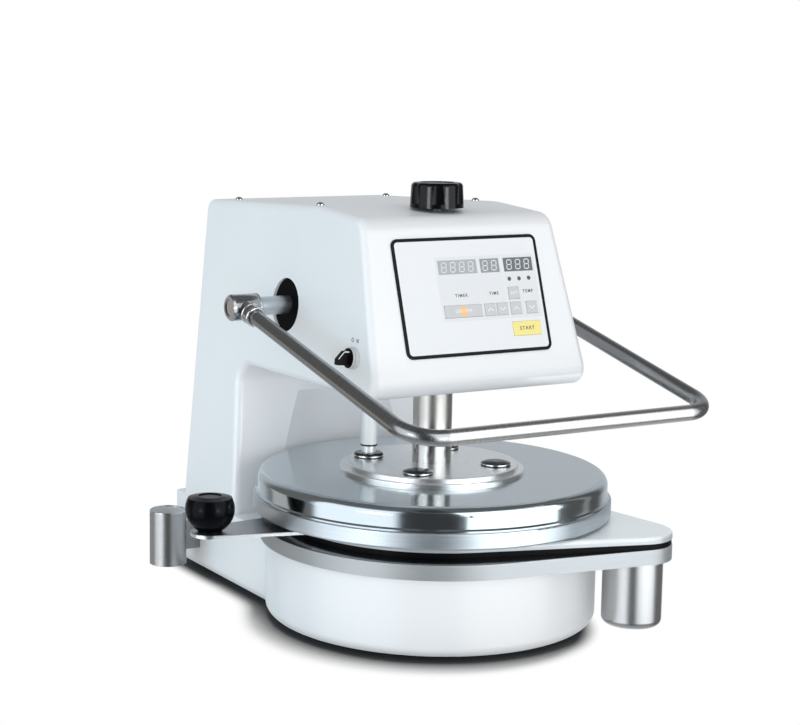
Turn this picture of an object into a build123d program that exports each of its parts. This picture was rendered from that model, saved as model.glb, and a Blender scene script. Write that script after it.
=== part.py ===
from build123d import *
import os
from math import acos, atan, cos, hypot, pi, radians, sin, sqrt, tan

# Manual heated dough press with a swing-out tray: a rack on the ram is driven by a pinion on
# the cross shaft of a U handle. Millimetres, +Z up, front towards -Y, feet on Z = 0.

os.makedirs("parts", exist_ok=True)

# Stack of heights above the worktop
foot_h = 6.0
base_h = 97.0
lower_plate_t = 19.0
slide_gap = 0.3
slide_pad_t = 6.7
tray_t = 9.0
dough_gap = 4.0
platen_t = 20.0
cover_h = 29.0
hub_step_h = 5.0
throat_h = 104.0
head_h = 222.0
cup_low = 17.0

# Platen, whose radius sets the other sizes in plan
platen_r = 228.6

# Base
pot_inset = 16.6
base_side_inset = 48.6
base_rear = 159.4
base_corner_r = 8.0
base_blend_r = 12.0
base_wall = 5.0
base_round = 12.0
base_top_round = 2.5
foot_d = 36.0
foot_inset = 62.0
foot_front_angle = 35.0
foot_chamfer = 2.0
hatch_half_w = 110.0
hatch_front = -85.0
hatch_rear_gap = 148.0
hatch_lip = 12.0
hatch_t = 2.0
gland_x = 95.0
gland_z = 52.0
gland_r = 11.0
gland_hex_r = 14.0
gland_hex_l = 6.0
gland_l = 22.0
gland_bore_r = 4.5
gland_flange_l = 3.0

# Column and head
foot_inset_w = 3.0
side_taper = 37.0
head_wall = 4.0
head_edge_r = 10.0
column_inset = 16.6
column_lean = 23.0
column_rear = 140.4
scoop_clear = 11.4
scoop_h = 159.0
throat_r = 26.0
face_low_y = -120.0
face_lean = 17.7
nose_low_r = 22.0
nose_high_r = 26.0
crown_r = 14.0
crest_y = 58.0
crest_slope = 4.5
crest_r = 250.0
rear_drop = 9.5
lid_t = 2.5
lid_side_gap = 14.0
lid_front = -32.0
lid_rear_gap = 29.0
lid_corner_r = 12.0
lid_lip = 14.0

# Ram, hub and heated platen
ram_d = 50.0
ram_seat = 10.0
ram_over = 7.0
ram_wall = 8.0
ram_bore_l = 80.0
ram_cap_t = 10.0
ram_hole_clear = 5.0
platen_edge_r = 2.0
cover_inset = 5.1
cover_t = 2.0
cover_round = 11.0
cover_bead = 2.2
cover_bead_h = 4.0
hub_r = 118.0
hub_upper_r = 110.0
hub_boss_r = 55.0
hub_round = 2.0
plug_d = 38.0
plug_h = 6.0
plug_dome = 3.0
plug_crown_r = 6.0
plug_pcd = 166.0
plug_angle = 45.0
plug_shank_r = 9.0
plug_shank_l = 26.0
heater_in_r = 112.0
heater_out_r = 132.0
heater_h = 8.0
insulation_inset = 23.6
insulation_h = 13.0
inner_clear = 3.0
wire_tube_r = 10.5
wire_tube_wall = 1.5
wire_bore_r = 5.0
wire_tube_in = 40.0
tube_neck_h = 9.0
tube_spigot_h = 8.0
tube_foot_r = 19.0
tube_hole_clear = 3.0

# Lower plate, swing tray and pivot
lower_plate_inset = 9.1
lower_edge_r = 1.5
tab_angle = -50.0
tab_reach = 33.4
tab_end_r = 47.0
pivot_pin_r = 14.0
pivot_seat = 6.0
pivot_pin_drop = 55.0
pivot_case_r = 37.0
pivot_case_h = 85.4
pivot_case_t = 3.0
pivot_case_round = 9.0
pivot_bush_t = 10.0
pivot_bush_drop = 41.0
pivot_nut_t = 6.0
pivot_nut_h = 9.0
tray_inset = 38.6
tray_edge_r = 5.0
pad_inset = 1.0
tray_handle_angle = 174.5
tray_handle_t = 4.5
tray_handle_drop = 2.5
tray_handle_reach = 75.4
tray_handle_end_r = 24.0
tray_handle_root_w = 86.0
tray_handle_root = 6.0
tray_handle_root_l = 44.0
ball_d = 61.0
ball_neck_r = 15.0
ball_neck_h = 1.5
ball_shoulder_r = 27.0
ball_top_r = 16.0
ball_cap_h = 2.2
ball_dish_r = 14.0
ball_dish_depth = 1.2
ball_stud_r = 5.0
ball_stud_l = 26.0
ball_bolt_r = 9.0
ball_bolt_h = 4.0

# Handle and its cross shaft
shaft_y = 118.0
shaft_rise = 92.0
shaft_r = 12.0
handle_side_gap = 36.0
bar_reach = 59.4
bar_drop = 8.0
handle_tube_r = 9.5
handle_tube_t = 1.6
handle_bend_r = 42.0
handle_tube_gap = 6.0
tee_wall = 5.0
tee_l = 39.0
tee_end_t = 6.0
tee_edge = 2.5
tee_rim = 6.0
tee_dish_depth = 1.2
tee_socket_t = 3.5
tee_socket_l = 36.0
port_r = 34.5
disc_r = 41.0
disc_t = 3.0
frame_bush_wall = 8.0
frame_bush_flange_w = 6.0
frame_bush_flange_t = 4.0

# Rack and pinion
tooth_module = 4.0
pinion_teeth = 24
pressure_angle = 20.0
backlash = 0.6
tip_clear = 1.0
pinion_w = 22.0
pinion_hub_wall = 10.0
pinion_hub_l = 16.0
rack_w = 24.0
rack_below = 76.0
rack_above = 30.0
rack_behind_ram = 25.0

# Inner frame and ram guide
frame_side_gap = 34.0
frame_t = 8.0
frame_front = -48.0
frame_rise = 7.0
frame_top_gap = 23.0
frame_column_gap = 50.0
frame_rear_gap = 24.0
frame_corner_r = 30.0
frame_hole_r = 30.0
frame_hole_y = 225.0
frame_hole_rise = 105.0
frame_slot_w = 28.0
frame_slot_l = 140.0
frame_slot_drop = 105.0
guide_flange_h = 10.0
guide_half_d = 45.0
guide_boss_t = 12.0
guide_h = 60.0
bush_t = 5.0
bush_l = 22.0
cross_gap = 13.0
cross_h = 28.0
cross_wall = 11.0
cross_round = 8.0
cross_arm_end = 14.0
cross_arm_half_d = 13.0
cross_arm_inset = 6.0
spring_gap = 18.0
spring_r = 10.0
spring_bore_r = 8.0
spring_rod_r = 4.0
spring_l = 66.0
spring_end_t = 4.0
spring_piston_h = 6.0
spring_piston_low = 3.0

# Thickness knob and its stop
knob_d = 68.0
knob_h = 31.5
knob_flutes = 6
knob_flute_r = 30.0
knob_flute_depth = 0.8
knob_skirt_h = 5.0
knob_round = 5.0
knob_taper = 3.0
knob_dish_r = 22.0
knob_dish_depth = 1.0
knob_gap = 1.0
spindle_r = 7.0
spindle_in = 22.0
spindle_into_knob = 22.0
spindle_collar_r = 12.0
spindle_collar_h = 6.0
spindle_hole_r = 9.0
bridge_drop = 12.0
bridge_t = 10.0
bridge_half_d = 25.0
nut_h = 14.7

# Control panel on the leaning face
panel_w = 214.0
panel_h = 148.0
panel_rise = 118.0
panel_t = 1.5
panel_corner_r = 9.0
window_w = 196.0
window_h = 116.0
window_shift = -5.0
board_w = 190.0
board_h = 115.0
board_t = 1.6
board_back = 9.0
board_switch = 6.0
board_post_r = 2.5
board_post_inset = 4.0
key_proud = 0.5
key_t = 2.6
key_gap = 0.3
key_stem_r = 2.0
key_travel = 0.5
key_corner_r = 1.5
clock_display_x = -16.3
clock_display_w = 57.0
time_display_x = 31.6
time_display_w = 28.5
heat_display_x = 74.4
heat_display_w = 43.8
display_row = 36.2
display_h = 17.6
led_mid_x = 72.9
led_step = 14.8
led_row = 18.1
led_r = 2.6
led_proud = 0.8
time_up_x = 22.9
time_down_x = 41.3
heat_up_x = 61.7
heat_down_x = 85.6
key_w = 16.3
key_h = 15.0
key_upper_row = 0.0
key_row = -19.1
key_low_row = -45.0
wide_key_w = 55.0
wide_key_x = -16.8
start_key_w = 41.8
start_key_h = 17.6
start_key_x = 73.4

# Rotary switch on the left side
switch_y = -61.5
switch_rise = 47.5
switch_base_r = 13.5
switch_base_t = 5.0
switch_box = 26.0
switch_box_depth = 22.0
switch_knob_r = 12.2
switch_knob_t = 3.5
switch_grip_w = 7.0
switch_grip_l = 17.0
switch_grip_h = 16.0
switch_grip_flat = 7.5
switch_grip_tip = 7.0
switch_stem_r = 4.0
switch_stem_l = 12.0

# Utensil cup on the left side
cup_r = 25.5
cup_h = 75.0
cup_wall = 1.5
cup_rear_gap = 69.0
cup_stand_off = 18.0
cup_bracket_w = 24.0
cup_bracket_h = 34.0
cup_bracket_rise = 19.0
cup_saddle = 4.0

# Fits
run_fit = 0.05
body_gap = 0.3

# Heights worked out from the stack
base_z = foot_h
base_top = base_z + base_h
lower_top = base_top + lower_plate_t
pad_z = lower_top + slide_gap
tray_z = pad_z + slide_pad_t
tray_top = tray_z + tray_t
platen_z = tray_top + dough_gap
cover_z = platen_z + platen_t
cover_top = cover_z + cover_h
hub_mid = cover_top + hub_step_h
hub_top = hub_mid + hub_step_h
head_low = hub_top + throat_h
head_high = head_low + head_h
ram_low = cover_z + ram_seat
shaft_z = head_low + shaft_rise
bar_z = head_low - bar_drop
rack_low = shaft_z - rack_below
rack_high = shaft_z + rack_above
frame_low = head_low + frame_rise
frame_high = head_high - frame_top_gap
frame_hole_z = head_low + frame_hole_rise
frame_slot_z = head_low - frame_slot_drop
guide_high = frame_low + guide_h
cross_low = guide_high + cross_gap
cross_high = cross_low + cross_h
spring_low = frame_low + guide_flange_h
spring_high = spring_low + spring_l
ram_high = cross_high + ram_over
ram_bore_low = ram_high - ram_bore_l
spindle_low = ram_high - spindle_in
bridge_low = frame_high - bridge_drop
wire_tube_high = head_low + wire_tube_in
panel_z = head_low + panel_rise
switch_z = head_low + switch_rise
pivot_low = base_top - pivot_pin_drop
pivot_case_low = base_top - pivot_case_h
pivot_bush_low = base_top - pivot_bush_drop
cup_bracket_z = cup_low + cup_bracket_rise
handle_plate_z = tray_z + tray_handle_drop
handle_plate_top = handle_plate_z + tray_handle_t

# Plan sizes worked out from the platen and from the ram, shaft and pin
pot_r = platen_r - pot_inset
cover_r = platen_r - cover_inset
insulation_r = platen_r - insulation_inset
lower_plate_r = platen_r - lower_plate_inset
tray_r = platen_r - tray_inset
pivot_at = platen_r + tab_reach
tray_handle_at = platen_r + tray_handle_reach
tray_handle_root_at = tray_r + tray_handle_root
base_half_w = platen_r - base_side_inset
base_back = platen_r + base_rear
hatch_back = base_back - hatch_rear_gap
cup_y = base_back - cup_rear_gap
foot_half_w = base_half_w - foot_inset_w
crown_half_w = foot_half_w - side_taper
column_front_low = platen_r - column_inset
column_front_high = column_front_low + column_lean
column_back = platen_r + column_rear
lid_half_w = crown_half_w - lid_side_gap
lid_back = column_back - lid_rear_gap
frame_half_gap = crown_half_w - frame_side_gap
frame_column_front = column_front_high + frame_column_gap
frame_column_back = column_back - frame_rear_gap
handle_half_w = foot_half_w + handle_side_gap
bar_y = -platen_r - bar_reach
ram_r = ram_d / 2
ram_bore_r = ram_r - ram_wall
guide_boss_r = ram_r + bush_t + guide_boss_t
spring_x = guide_boss_r + spring_gap + spring_r
cross_half_w = ram_r + cross_wall
cross_front = -cross_half_w
cross_arm_half_w = spring_x + cross_arm_end
rack_back = ram_r + rack_behind_ram
handle_tube_start = shaft_r + handle_tube_gap
tee_r = shaft_r + tee_wall
tee_dish_r = tee_r - tee_rim
tee_socket_r = handle_tube_r + tee_socket_t
frame_bush_r = shaft_r + frame_bush_wall
frame_bush_flange_r = frame_bush_r + frame_bush_flange_w
pinion_hub_r = shaft_r + pinion_hub_wall
pivot_bush_r = pivot_pin_r + pivot_bush_t
pivot_nut_r = pivot_pin_r + pivot_nut_t

# Places worked out from the sizes above
ball_x = tray_handle_at * cos(radians(tray_handle_angle))
ball_y = tray_handle_at * sin(radians(tray_handle_angle))
pivot_x = pivot_at * cos(radians(tab_angle))
pivot_y = pivot_at * sin(radians(tab_angle))
plug_at = plug_pcd / 2 * cos(radians(plug_angle))
tee_out = handle_half_w + tee_l / 2
cup_x = -base_half_w - cup_stand_off - cup_r
gland_out = base_back + gland_flange_l + gland_l
arm_l = hypot(shaft_y - bar_y, shaft_z - bar_z)

# The ram axis stands off the middle of the part's box by half the difference of the reaches
left_reach = -ball_x + ball_d / 2
right_reach = tee_out
front_reach = handle_tube_r - bar_y
rear_reach = gland_out
axis_x = (left_reach - right_reach) / 2
axis_y = (front_reach - rear_reach) / 2


def level(z):
    """Horizontal plane at a height, with its origin on the ram axis."""
    return Plane((axis_x, axis_y, z))


def side(x):
    """Upright plane facing +X: sketch x runs to the back and sketch y up."""
    return Plane(origin=(axis_x + x, axis_y, 0), x_dir=(0, 1, 0), z_dir=(1, 0, 0))


def upright(x, y):
    """Plane for the half section of a turned piece that stands at a place."""
    return Plane(origin=(axis_x + x, axis_y + y, 0), x_dir=(1, 0, 0), z_dir=(0, -1, 0))


def turning(x, y):
    """Upright axis of a turned piece that stands at a place."""
    return Axis((axis_x + x, axis_y + y, 0), (0, 0, 1))


# Drafted sides of the column and head
side_draft = (foot_half_w - crown_half_w) / (head_high - base_top)
draft = atan(side_draft)


def wall(way, depth, y, z):
    """Plane of a drafted side at a place, moved out of it by a depth."""
    at = (axis_x + way * (foot_half_w - (z - base_top) * side_draft), axis_y + y, z)
    return Plane(origin=at, x_dir=(0, 1, 0), z_dir=(way * cos(draft), 0, sin(draft))).offset(depth)


# Leaning face of the head, with its origin at the panel's middle
lean = radians(face_lean)
crest_fall = tan(radians(crest_slope))
rear_fall = rear_drop / (column_back - crest_y)
panel_y = face_low_y + (panel_z - head_low) * tan(lean)


def top_at(y):
    """Height of the head's top, which falls from the crest to the front and to the back."""
    return head_high - max(crest_y - y, 0) * crest_fall - max(y - crest_y, 0) * rear_fall


# Corner where the falling top meets the leaning face
nose_rise = (head_high - head_low - (crest_y - face_low_y) * crest_fall) / (1 - crest_fall * tan(lean))
nose_y = face_low_y + nose_rise * tan(lean)
nose_z = head_low + nose_rise


def face(depth):
    """Plane of the leaning face, moved out of it by a depth."""
    out = (0, -cos(lean), sin(lean))
    on_face = Plane(origin=(axis_x, axis_y + panel_y, panel_z), x_dir=(1, 0, 0), z_dir=out)
    return on_face.offset(depth)


# Base casting: round pot under the platens that runs into a box under the column
with BuildPart() as base_housing:
    with BuildSketch(level(base_z)) as base_outline:
        Circle(pot_r)
        with Locations((0, base_back / 2)):
            Rectangle(2 * base_half_w, base_back)
    extrude(amount=base_h)
    upright_edges = base_housing.edges().filter_by(Axis.Z)
    fillet(upright_edges.sort_by(Axis.Y)[-2:], base_corner_r)
    blend_edges = base_housing.edges().filter_by(Axis.Z).sort_by(Axis.Y)[:2]
    fillet(blend_edges, base_blend_r)
    fillet(base_housing.faces().sort_by(Axis.Z)[0].edges(), base_round)
    fillet(base_housing.faces().sort_by(Axis.Z)[-1].edges(), base_top_round)
    with BuildSketch(level(base_z + base_wall)) as base_room:
        Circle(pot_r - base_wall)
        with Locations((0, (base_back - base_wall) / 2)):
            Rectangle(2 * (base_half_w - base_wall), base_back - base_wall)
        inner_corners = base_room.vertices().sort_by(Axis.Y)[-2:]
        fillet(inner_corners, base_corner_r - base_wall)
        offset(amount=base_wall - base_round, mode=Mode.REPLACE)
    extrude(amount=base_round - base_wall, mode=Mode.SUBTRACT)
    with BuildSketch(level(base_z + base_round)) as base_hall:
        Circle(pot_r - base_wall)
        with Locations((0, (base_back - base_wall) / 2)):
            Rectangle(2 * (base_half_w - base_wall), base_back - base_wall)
        inner_corners = base_hall.vertices().sort_by(Axis.Y)[-2:]
        fillet(inner_corners, base_corner_r - base_wall)
    extrude(amount=base_h - base_round - base_wall, mode=Mode.SUBTRACT)
    with BuildSketch(level(base_top)):
        column_mid = (frame_column_front + frame_column_back) / 2
        column_deep = frame_column_back - frame_column_front + 4 * inner_clear
        with Locations((0, column_mid)):
            Rectangle(2 * (frame_half_gap + frame_t + inner_clear), column_deep)
    extrude(amount=-base_wall, mode=Mode.SUBTRACT)
    with BuildSketch(level(base_z)):
        with Locations((0, (hatch_front + hatch_back) / 2)):
            Rectangle(2 * hatch_half_w, hatch_back - hatch_front)
    extrude(amount=base_wall, mode=Mode.SUBTRACT)
    gland_side = Plane(origin=(axis_x + gland_x, axis_y + base_back, gland_z), z_dir=(0, 1, 0))
    with BuildSketch(gland_side):
        Circle(gland_r)
    extrude(amount=-base_wall, mode=Mode.SUBTRACT)
base_housing.part.label = "base_housing"
export_step(base_housing.part, "parts/base_housing.step")

# Service cover on the base's underside
with BuildPart() as base_cover:
    with BuildSketch(level(base_z - hatch_t)):
        with Locations((0, (hatch_front + hatch_back) / 2)):
            RectangleRounded(
                2 * (hatch_half_w + hatch_lip), hatch_back - hatch_front + 2 * hatch_lip, hatch_lip
            )
    extrude(amount=hatch_t)
base_cover.part.label = "base_cover"
export_step(base_cover.part, "parts/base_cover.step")

# Four rubber feet, two on the pot's arc and two at the rear corners
foot_ring = pot_r - foot_inset
front_foot_x = foot_ring * cos(radians(-90 + foot_front_angle))
front_foot_y = foot_ring * sin(radians(-90 + foot_front_angle))
rear_foot_x = base_half_w - foot_inset + hatch_lip
rear_foot_y = base_back - foot_inset
with BuildPart() as feet:
    with BuildSketch(level(0)):
        with Locations(
            (-front_foot_x, front_foot_y),
            (front_foot_x, front_foot_y),
            (-rear_foot_x, rear_foot_y),
            (rear_foot_x, rear_foot_y),
        ):
            Circle(foot_d / 2)
    extrude(amount=foot_h)
    chamfer(feet.faces().group_by(Axis.Z)[0].edges(), foot_chamfer)
feet.part.label = "feet"
export_step(feet.part, "parts/feet.step")

# Cable gland through the base's rear wall
with BuildPart() as cable_gland:
    with BuildSketch(gland_side):
        RegularPolygon(gland_hex_r, 6)
    extrude(amount=gland_hex_l)
    with BuildSketch(gland_side.offset(gland_hex_l)):
        Circle(gland_r)
    extrude(amount=gland_flange_l + gland_l - gland_hex_l)
    chamfer(cable_gland.faces().sort_by(Axis.Y)[-1].edges(), gland_flange_l)
    with BuildSketch(gland_side.offset(-base_wall)):
        Circle(gland_r)
    extrude(amount=base_wall)
    with BuildSketch(gland_side.offset(-base_wall)):
        Circle(gland_bore_r)
    extrude(amount=base_wall + gland_flange_l + gland_l, mode=Mode.SUBTRACT)
cable_gland.part.label = "cable_gland"
export_step(cable_gland.part, "parts/cable_gland.step")

# Side outline of the column and the overhanging head
with BuildSketch() as head_outline:
    with BuildLine():
        Polyline(
            (column_front_low, base_top),
            (column_front_high, head_low),
            (face_low_y, head_low),
            (nose_y, nose_z),
            (crest_y, head_high),
            (column_back, top_at(column_back)),
            (column_back, base_top),
            close=True,
        )
    make_face()
    for corner, radius in (
        ((face_low_y, head_low), nose_low_r),
        ((nose_y, nose_z), nose_high_r),
        ((crest_y, head_high), crest_r),
        ((column_back, top_at(column_back)), crown_r),
        ((column_front_high, head_low), throat_r),
    ):
        fillet(head_outline.vertices().sort_by_distance(corner)[0], radius)

# Hollow of the column and head, open at the column's foot and clear of the platen's scoop
scoop_r = platen_r + scoop_clear
with BuildPart() as head_hollow:
    with BuildSketch(side(-foot_half_w)):
        add(head_outline.sketch)
        offset(amount=-head_wall, mode=Mode.REPLACE)
    extrude(amount=2 * foot_half_w)
    for way in (-1, 1):
        split(bisect_by=wall(way, -head_wall, 0, base_top), keep=Keep.BOTTOM)
    hollow_ends = head_hollow.faces().filter_by(lambda f: abs(f.normal_at().X) > cos(2 * draft))
    low_edge = base_top + 2 * head_wall
    hollow_edges = hollow_ends.edges().filter_by(lambda e: e.center().Z > low_edge)
    fillet(hollow_edges, head_edge_r - head_wall)
    with BuildSketch(level(base_top)):
        front_inside = column_front_low + 2 * head_wall
        back_inside = column_back - head_wall
        with Locations((0, (front_inside + back_inside) / 2)):
            Rectangle(2 * (foot_half_w - 2 * head_wall), back_inside - front_inside)
    extrude(amount=2 * head_wall)
    with BuildSketch(level(base_top)):
        Circle(scoop_r + head_wall)
    extrude(amount=scoop_h + head_wall, mode=Mode.SUBTRACT)

# Room for the lid in the head's top
with BuildPart() as lid_room:
    with BuildSketch(side(-lid_half_w - body_gap)) as lid_room_section:
        with BuildLine():
            Polyline(
                (lid_front - body_gap, top_at(lid_front - body_gap) - lid_t),
                (crest_y, head_high - lid_t),
                (lid_back + body_gap, top_at(lid_back + body_gap) - lid_t),
                (lid_back + body_gap, head_high + lid_t),
                (lid_front - body_gap, head_high + lid_t),
                close=True,
            )
        make_face()
        room_crest = lid_room_section.vertices().sort_by_distance((crest_y, head_high - lid_t))[0]
        fillet(room_crest, crest_r - lid_t)
    extrude(amount=2 * (lid_half_w + body_gap))
    fillet(lid_room.edges().filter_by(Axis.Z), lid_corner_r + body_gap)

# Column and head housing
with BuildPart() as head_housing:
    with BuildSketch(side(-foot_half_w)):
        add(head_outline.sketch)
    extrude(amount=2 * foot_half_w)
    for way in (-1, 1):
        split(bisect_by=wall(way, 0, 0, base_top), keep=Keep.BOTTOM)
    head_ends = head_housing.faces().filter_by(lambda f: abs(f.normal_at().X) > cos(2 * draft))
    end_edges = head_ends.edges().filter_by(lambda e: e.center().Z > base_top + head_wall)
    fillet(end_edges, head_edge_r)
    with BuildSketch(level(base_top)):
        Circle(scoop_r)
    extrude(amount=scoop_h, mode=Mode.SUBTRACT)
    add(head_hollow.part, mode=Mode.SUBTRACT)
    add(lid_room.part, mode=Mode.SUBTRACT)
    with BuildSketch(level(head_high)):
        with Locations((0, (lid_front + lid_back) / 2)):
            RectangleRounded(
                2 * (lid_half_w - lid_lip), lid_back - lid_front - 2 * lid_lip, lid_corner_r
            )
    extrude(amount=top_at(lid_front) - head_high - 2 * head_wall, mode=Mode.SUBTRACT)
    with BuildSketch(level(head_low)):
        Circle(ram_r + ram_hole_clear)
        with Locations((-plug_at, plug_at)):
            Circle(wire_tube_r + tube_hole_clear)
    extrude(amount=head_wall, mode=Mode.SUBTRACT)
    with BuildSketch(side(-foot_half_w)):
        with Locations((shaft_y, shaft_z)):
            Circle(port_r)
    extrude(amount=2 * foot_half_w, mode=Mode.SUBTRACT)
    with BuildSketch(wall(-1, 0, switch_y, switch_z)):
        Circle(switch_stem_r + inner_clear)
    extrude(amount=-head_wall, mode=Mode.SUBTRACT)
    with BuildSketch(face(0)):
        with Locations((0, window_shift)):
            Rectangle(window_w, window_h)
    extrude(amount=-2 * head_wall, mode=Mode.SUBTRACT)
head_housing.part.label = "head_housing"
export_step(head_housing.part, "parts/head_housing.step")

# Lid let into the head's top and bent along its crest, with a hole for the knob's spindle
with BuildPart() as top_cover:
    with BuildSketch(side(-lid_half_w)) as lid_section:
        with BuildLine():
            Polyline(
                (lid_front, top_at(lid_front) - lid_t),
                (crest_y, head_high - lid_t),
                (lid_back, top_at(lid_back) - lid_t),
                (lid_back, top_at(lid_back)),
                (crest_y, head_high),
                (lid_front, top_at(lid_front)),
                close=True,
            )
        make_face()
        fillet(lid_section.vertices().sort_by_distance((crest_y, head_high - lid_t))[0], crest_r - lid_t)
        fillet(lid_section.vertices().sort_by_distance((crest_y, head_high))[0], crest_r)
    extrude(amount=2 * lid_half_w)
    fillet(top_cover.edges().filter_by(Axis.Z), lid_corner_r)
    with BuildSketch(level(head_high)):
        Circle(spindle_hole_r)
    extrude(amount=top_at(-spindle_hole_r) - head_high - lid_t, mode=Mode.SUBTRACT)
top_cover.part.label = "top_cover"
export_step(top_cover.part, "parts/top_cover.step")

# C-shaped steel plate, one each side, that ties the base to the shaft and the ram guide
with BuildSketch() as frame_outline:
    with BuildLine():
        Polyline(
            (frame_column_front, base_z + base_wall),
            (frame_column_front, frame_low),
            (frame_front, frame_low),
            (frame_front, frame_high),
            (frame_column_back, frame_high),
            (frame_column_back, base_z + base_wall),
            close=True,
        )
    make_face()
    elbow = frame_outline.vertices().sort_by_distance((frame_column_front, frame_low))[0]
    fillet(elbow, frame_corner_r)
    for corner in ((frame_front, frame_high), (frame_column_back, frame_high)):
        fillet(frame_outline.vertices().sort_by_distance(corner)[0], frame_corner_r)
    with Locations((shaft_y, shaft_z)):
        Circle(frame_bush_r, mode=Mode.SUBTRACT)
    with Locations((frame_hole_y, frame_hole_z)):
        Circle(frame_hole_r, mode=Mode.SUBTRACT)
    with Locations((column_mid, frame_slot_z)):
        SlotOverall(frame_slot_l, frame_slot_w, rotation=90, mode=Mode.SUBTRACT)

with BuildPart() as frame_plate_left:
    with BuildSketch(side(-frame_half_gap - frame_t)):
        add(frame_outline.sketch)
    extrude(amount=frame_t)
frame_plate_left.part.label = "frame_plate_left"
export_step(frame_plate_left.part, "parts/frame_plate_left.step")

with BuildPart() as frame_plate_right:
    with BuildSketch(side(frame_half_gap)):
        add(frame_outline.sketch)
    extrude(amount=frame_t)
frame_plate_right.part.label = "frame_plate_right"
export_step(frame_plate_right.part, "parts/frame_plate_right.step")

# Flanged bushes that carry the cross shaft in the two plates
with BuildPart() as shaft_bushes:
    for way in (-1, 1):
        with BuildSketch(side(way * frame_half_gap)):
            with Locations((shaft_y, shaft_z)):
                Circle(frame_bush_r)
        extrude(amount=way * frame_t)
        with BuildSketch(side(way * (frame_half_gap + frame_t))):
            with Locations((shaft_y, shaft_z)):
                Circle(frame_bush_flange_r)
        extrude(amount=way * frame_bush_flange_t)
    with BuildSketch(side(-foot_half_w)):
        with Locations((shaft_y, shaft_z)):
            Circle(shaft_r + run_fit)
    extrude(amount=2 * foot_half_w, mode=Mode.SUBTRACT)
shaft_bushes.part.label = "shaft_bushes"
export_step(shaft_bushes.part, "parts/shaft_bushes.step")

# Black discs behind the round shaft ports in the head's sides
with BuildPart() as shaft_discs:
    for way in (-1, 1):
        with BuildSketch(wall(way, -head_wall, shaft_y, shaft_z)):
            Circle(disc_r)
        extrude(amount=-disc_t)
    with BuildSketch(side(-foot_half_w)):
        with Locations((shaft_y, shaft_z)):
            Circle(shaft_r + 2 * body_gap)
    extrude(amount=2 * foot_half_w, mode=Mode.SUBTRACT)
shaft_discs.part.label = "shaft_discs"
export_step(shaft_discs.part, "parts/shaft_discs.step")

# Ram guide: flange between the plates and a boss with the two bushes' bore
with BuildPart() as ram_guide:
    with BuildSketch(level(frame_low)):
        Rectangle(2 * frame_half_gap, 2 * guide_half_d)
    extrude(amount=guide_flange_h)
    with BuildSketch(level(frame_low + guide_flange_h)):
        Circle(guide_boss_r)
    extrude(amount=guide_high - frame_low - guide_flange_h)
    with BuildSketch(level(frame_low)):
        Circle(ram_r + bush_t)
    extrude(amount=guide_high - frame_low, mode=Mode.SUBTRACT)
ram_guide.part.label = "ram_guide"
export_step(ram_guide.part, "parts/ram_guide.step")

with BuildPart() as ram_bushes:
    for bush_z in (frame_low, guide_high - bush_l):
        with BuildSketch(level(bush_z)):
            Circle(ram_r + bush_t)
            Circle(ram_r + run_fit, mode=Mode.SUBTRACT)
        extrude(amount=bush_l)
ram_bushes.part.label = "ram_bushes"
export_step(ram_bushes.part, "parts/ram_bushes.step")

# Bridge across the plates that carries the knob's spindle
with BuildPart() as stop_bridge:
    with BuildSketch(level(bridge_low)):
        Rectangle(2 * frame_half_gap, 2 * bridge_half_d)
        Circle(spindle_r + run_fit, mode=Mode.SUBTRACT)
    extrude(amount=bridge_t)
stop_bridge.part.label = "stop_bridge"
export_step(stop_bridge.part, "parts/stop_bridge.step")

# Gas springs that lift the platen: barrels on the guide, rods under the crosshead
with BuildPart() as gas_spring_barrels:
    for way in (-1, 1):
        with BuildSketch(level(spring_low)):
            with Locations((way * spring_x, 0)):
                Circle(spring_r)
        extrude(amount=spring_high - spring_low)
        with BuildSketch(level(spring_low + spring_piston_low - body_gap)):
            with Locations((way * spring_x, 0)):
                Circle(spring_bore_r)
        bore_l = spring_high - spring_end_t - spring_low - spring_piston_low + body_gap
        extrude(amount=bore_l, mode=Mode.SUBTRACT)
        with BuildSketch(level(spring_high)):
            with Locations((way * spring_x, 0)):
                Circle(spring_rod_r + run_fit)
        extrude(amount=-spring_end_t, mode=Mode.SUBTRACT)
gas_spring_barrels.part.label = "gas_spring_barrels"
export_step(gas_spring_barrels.part, "parts/gas_spring_barrels.step")

piston_z = spring_low + spring_piston_low
arm_z = cross_low + cross_arm_inset
with BuildPart() as gas_spring_rods:
    with BuildSketch(level(piston_z)):
        with Locations((-spring_x, 0), (spring_x, 0)):
            Circle(spring_bore_r - run_fit)
    extrude(amount=spring_piston_h)
    with BuildSketch(level(piston_z + spring_piston_h)):
        with Locations((-spring_x, 0), (spring_x, 0)):
            Circle(spring_rod_r)
    extrude(amount=arm_z - piston_z - spring_piston_h)
gas_spring_rods.part.label = "gas_spring_rods"
export_step(gas_spring_rods.part, "parts/gas_spring_rods.step")

# Ram, bored at the top for the stop nut
with BuildPart() as ram:
    with BuildSketch(level(ram_low)):
        Circle(ram_r)
    extrude(amount=ram_high - ram_low)
    with BuildSketch(level(ram_bore_low)):
        Circle(ram_bore_r)
    extrude(amount=ram_high - ram_bore_low, mode=Mode.SUBTRACT)
ram.part.label = "ram"
export_step(ram.part, "parts/ram.step")

with BuildPart() as ram_cap:
    with BuildSketch(level(ram_high)):
        Circle(ram_r)
        Circle(spindle_hole_r, mode=Mode.SUBTRACT)
    extrude(amount=ram_cap_t)
    chamfer(ram_cap.faces().sort_by(Axis.Z)[-1].outer_wire().edges(), ram_cap_t / 5)
ram_cap.part.label = "ram_cap"
export_step(ram_cap.part, "parts/ram_cap.step")

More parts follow.
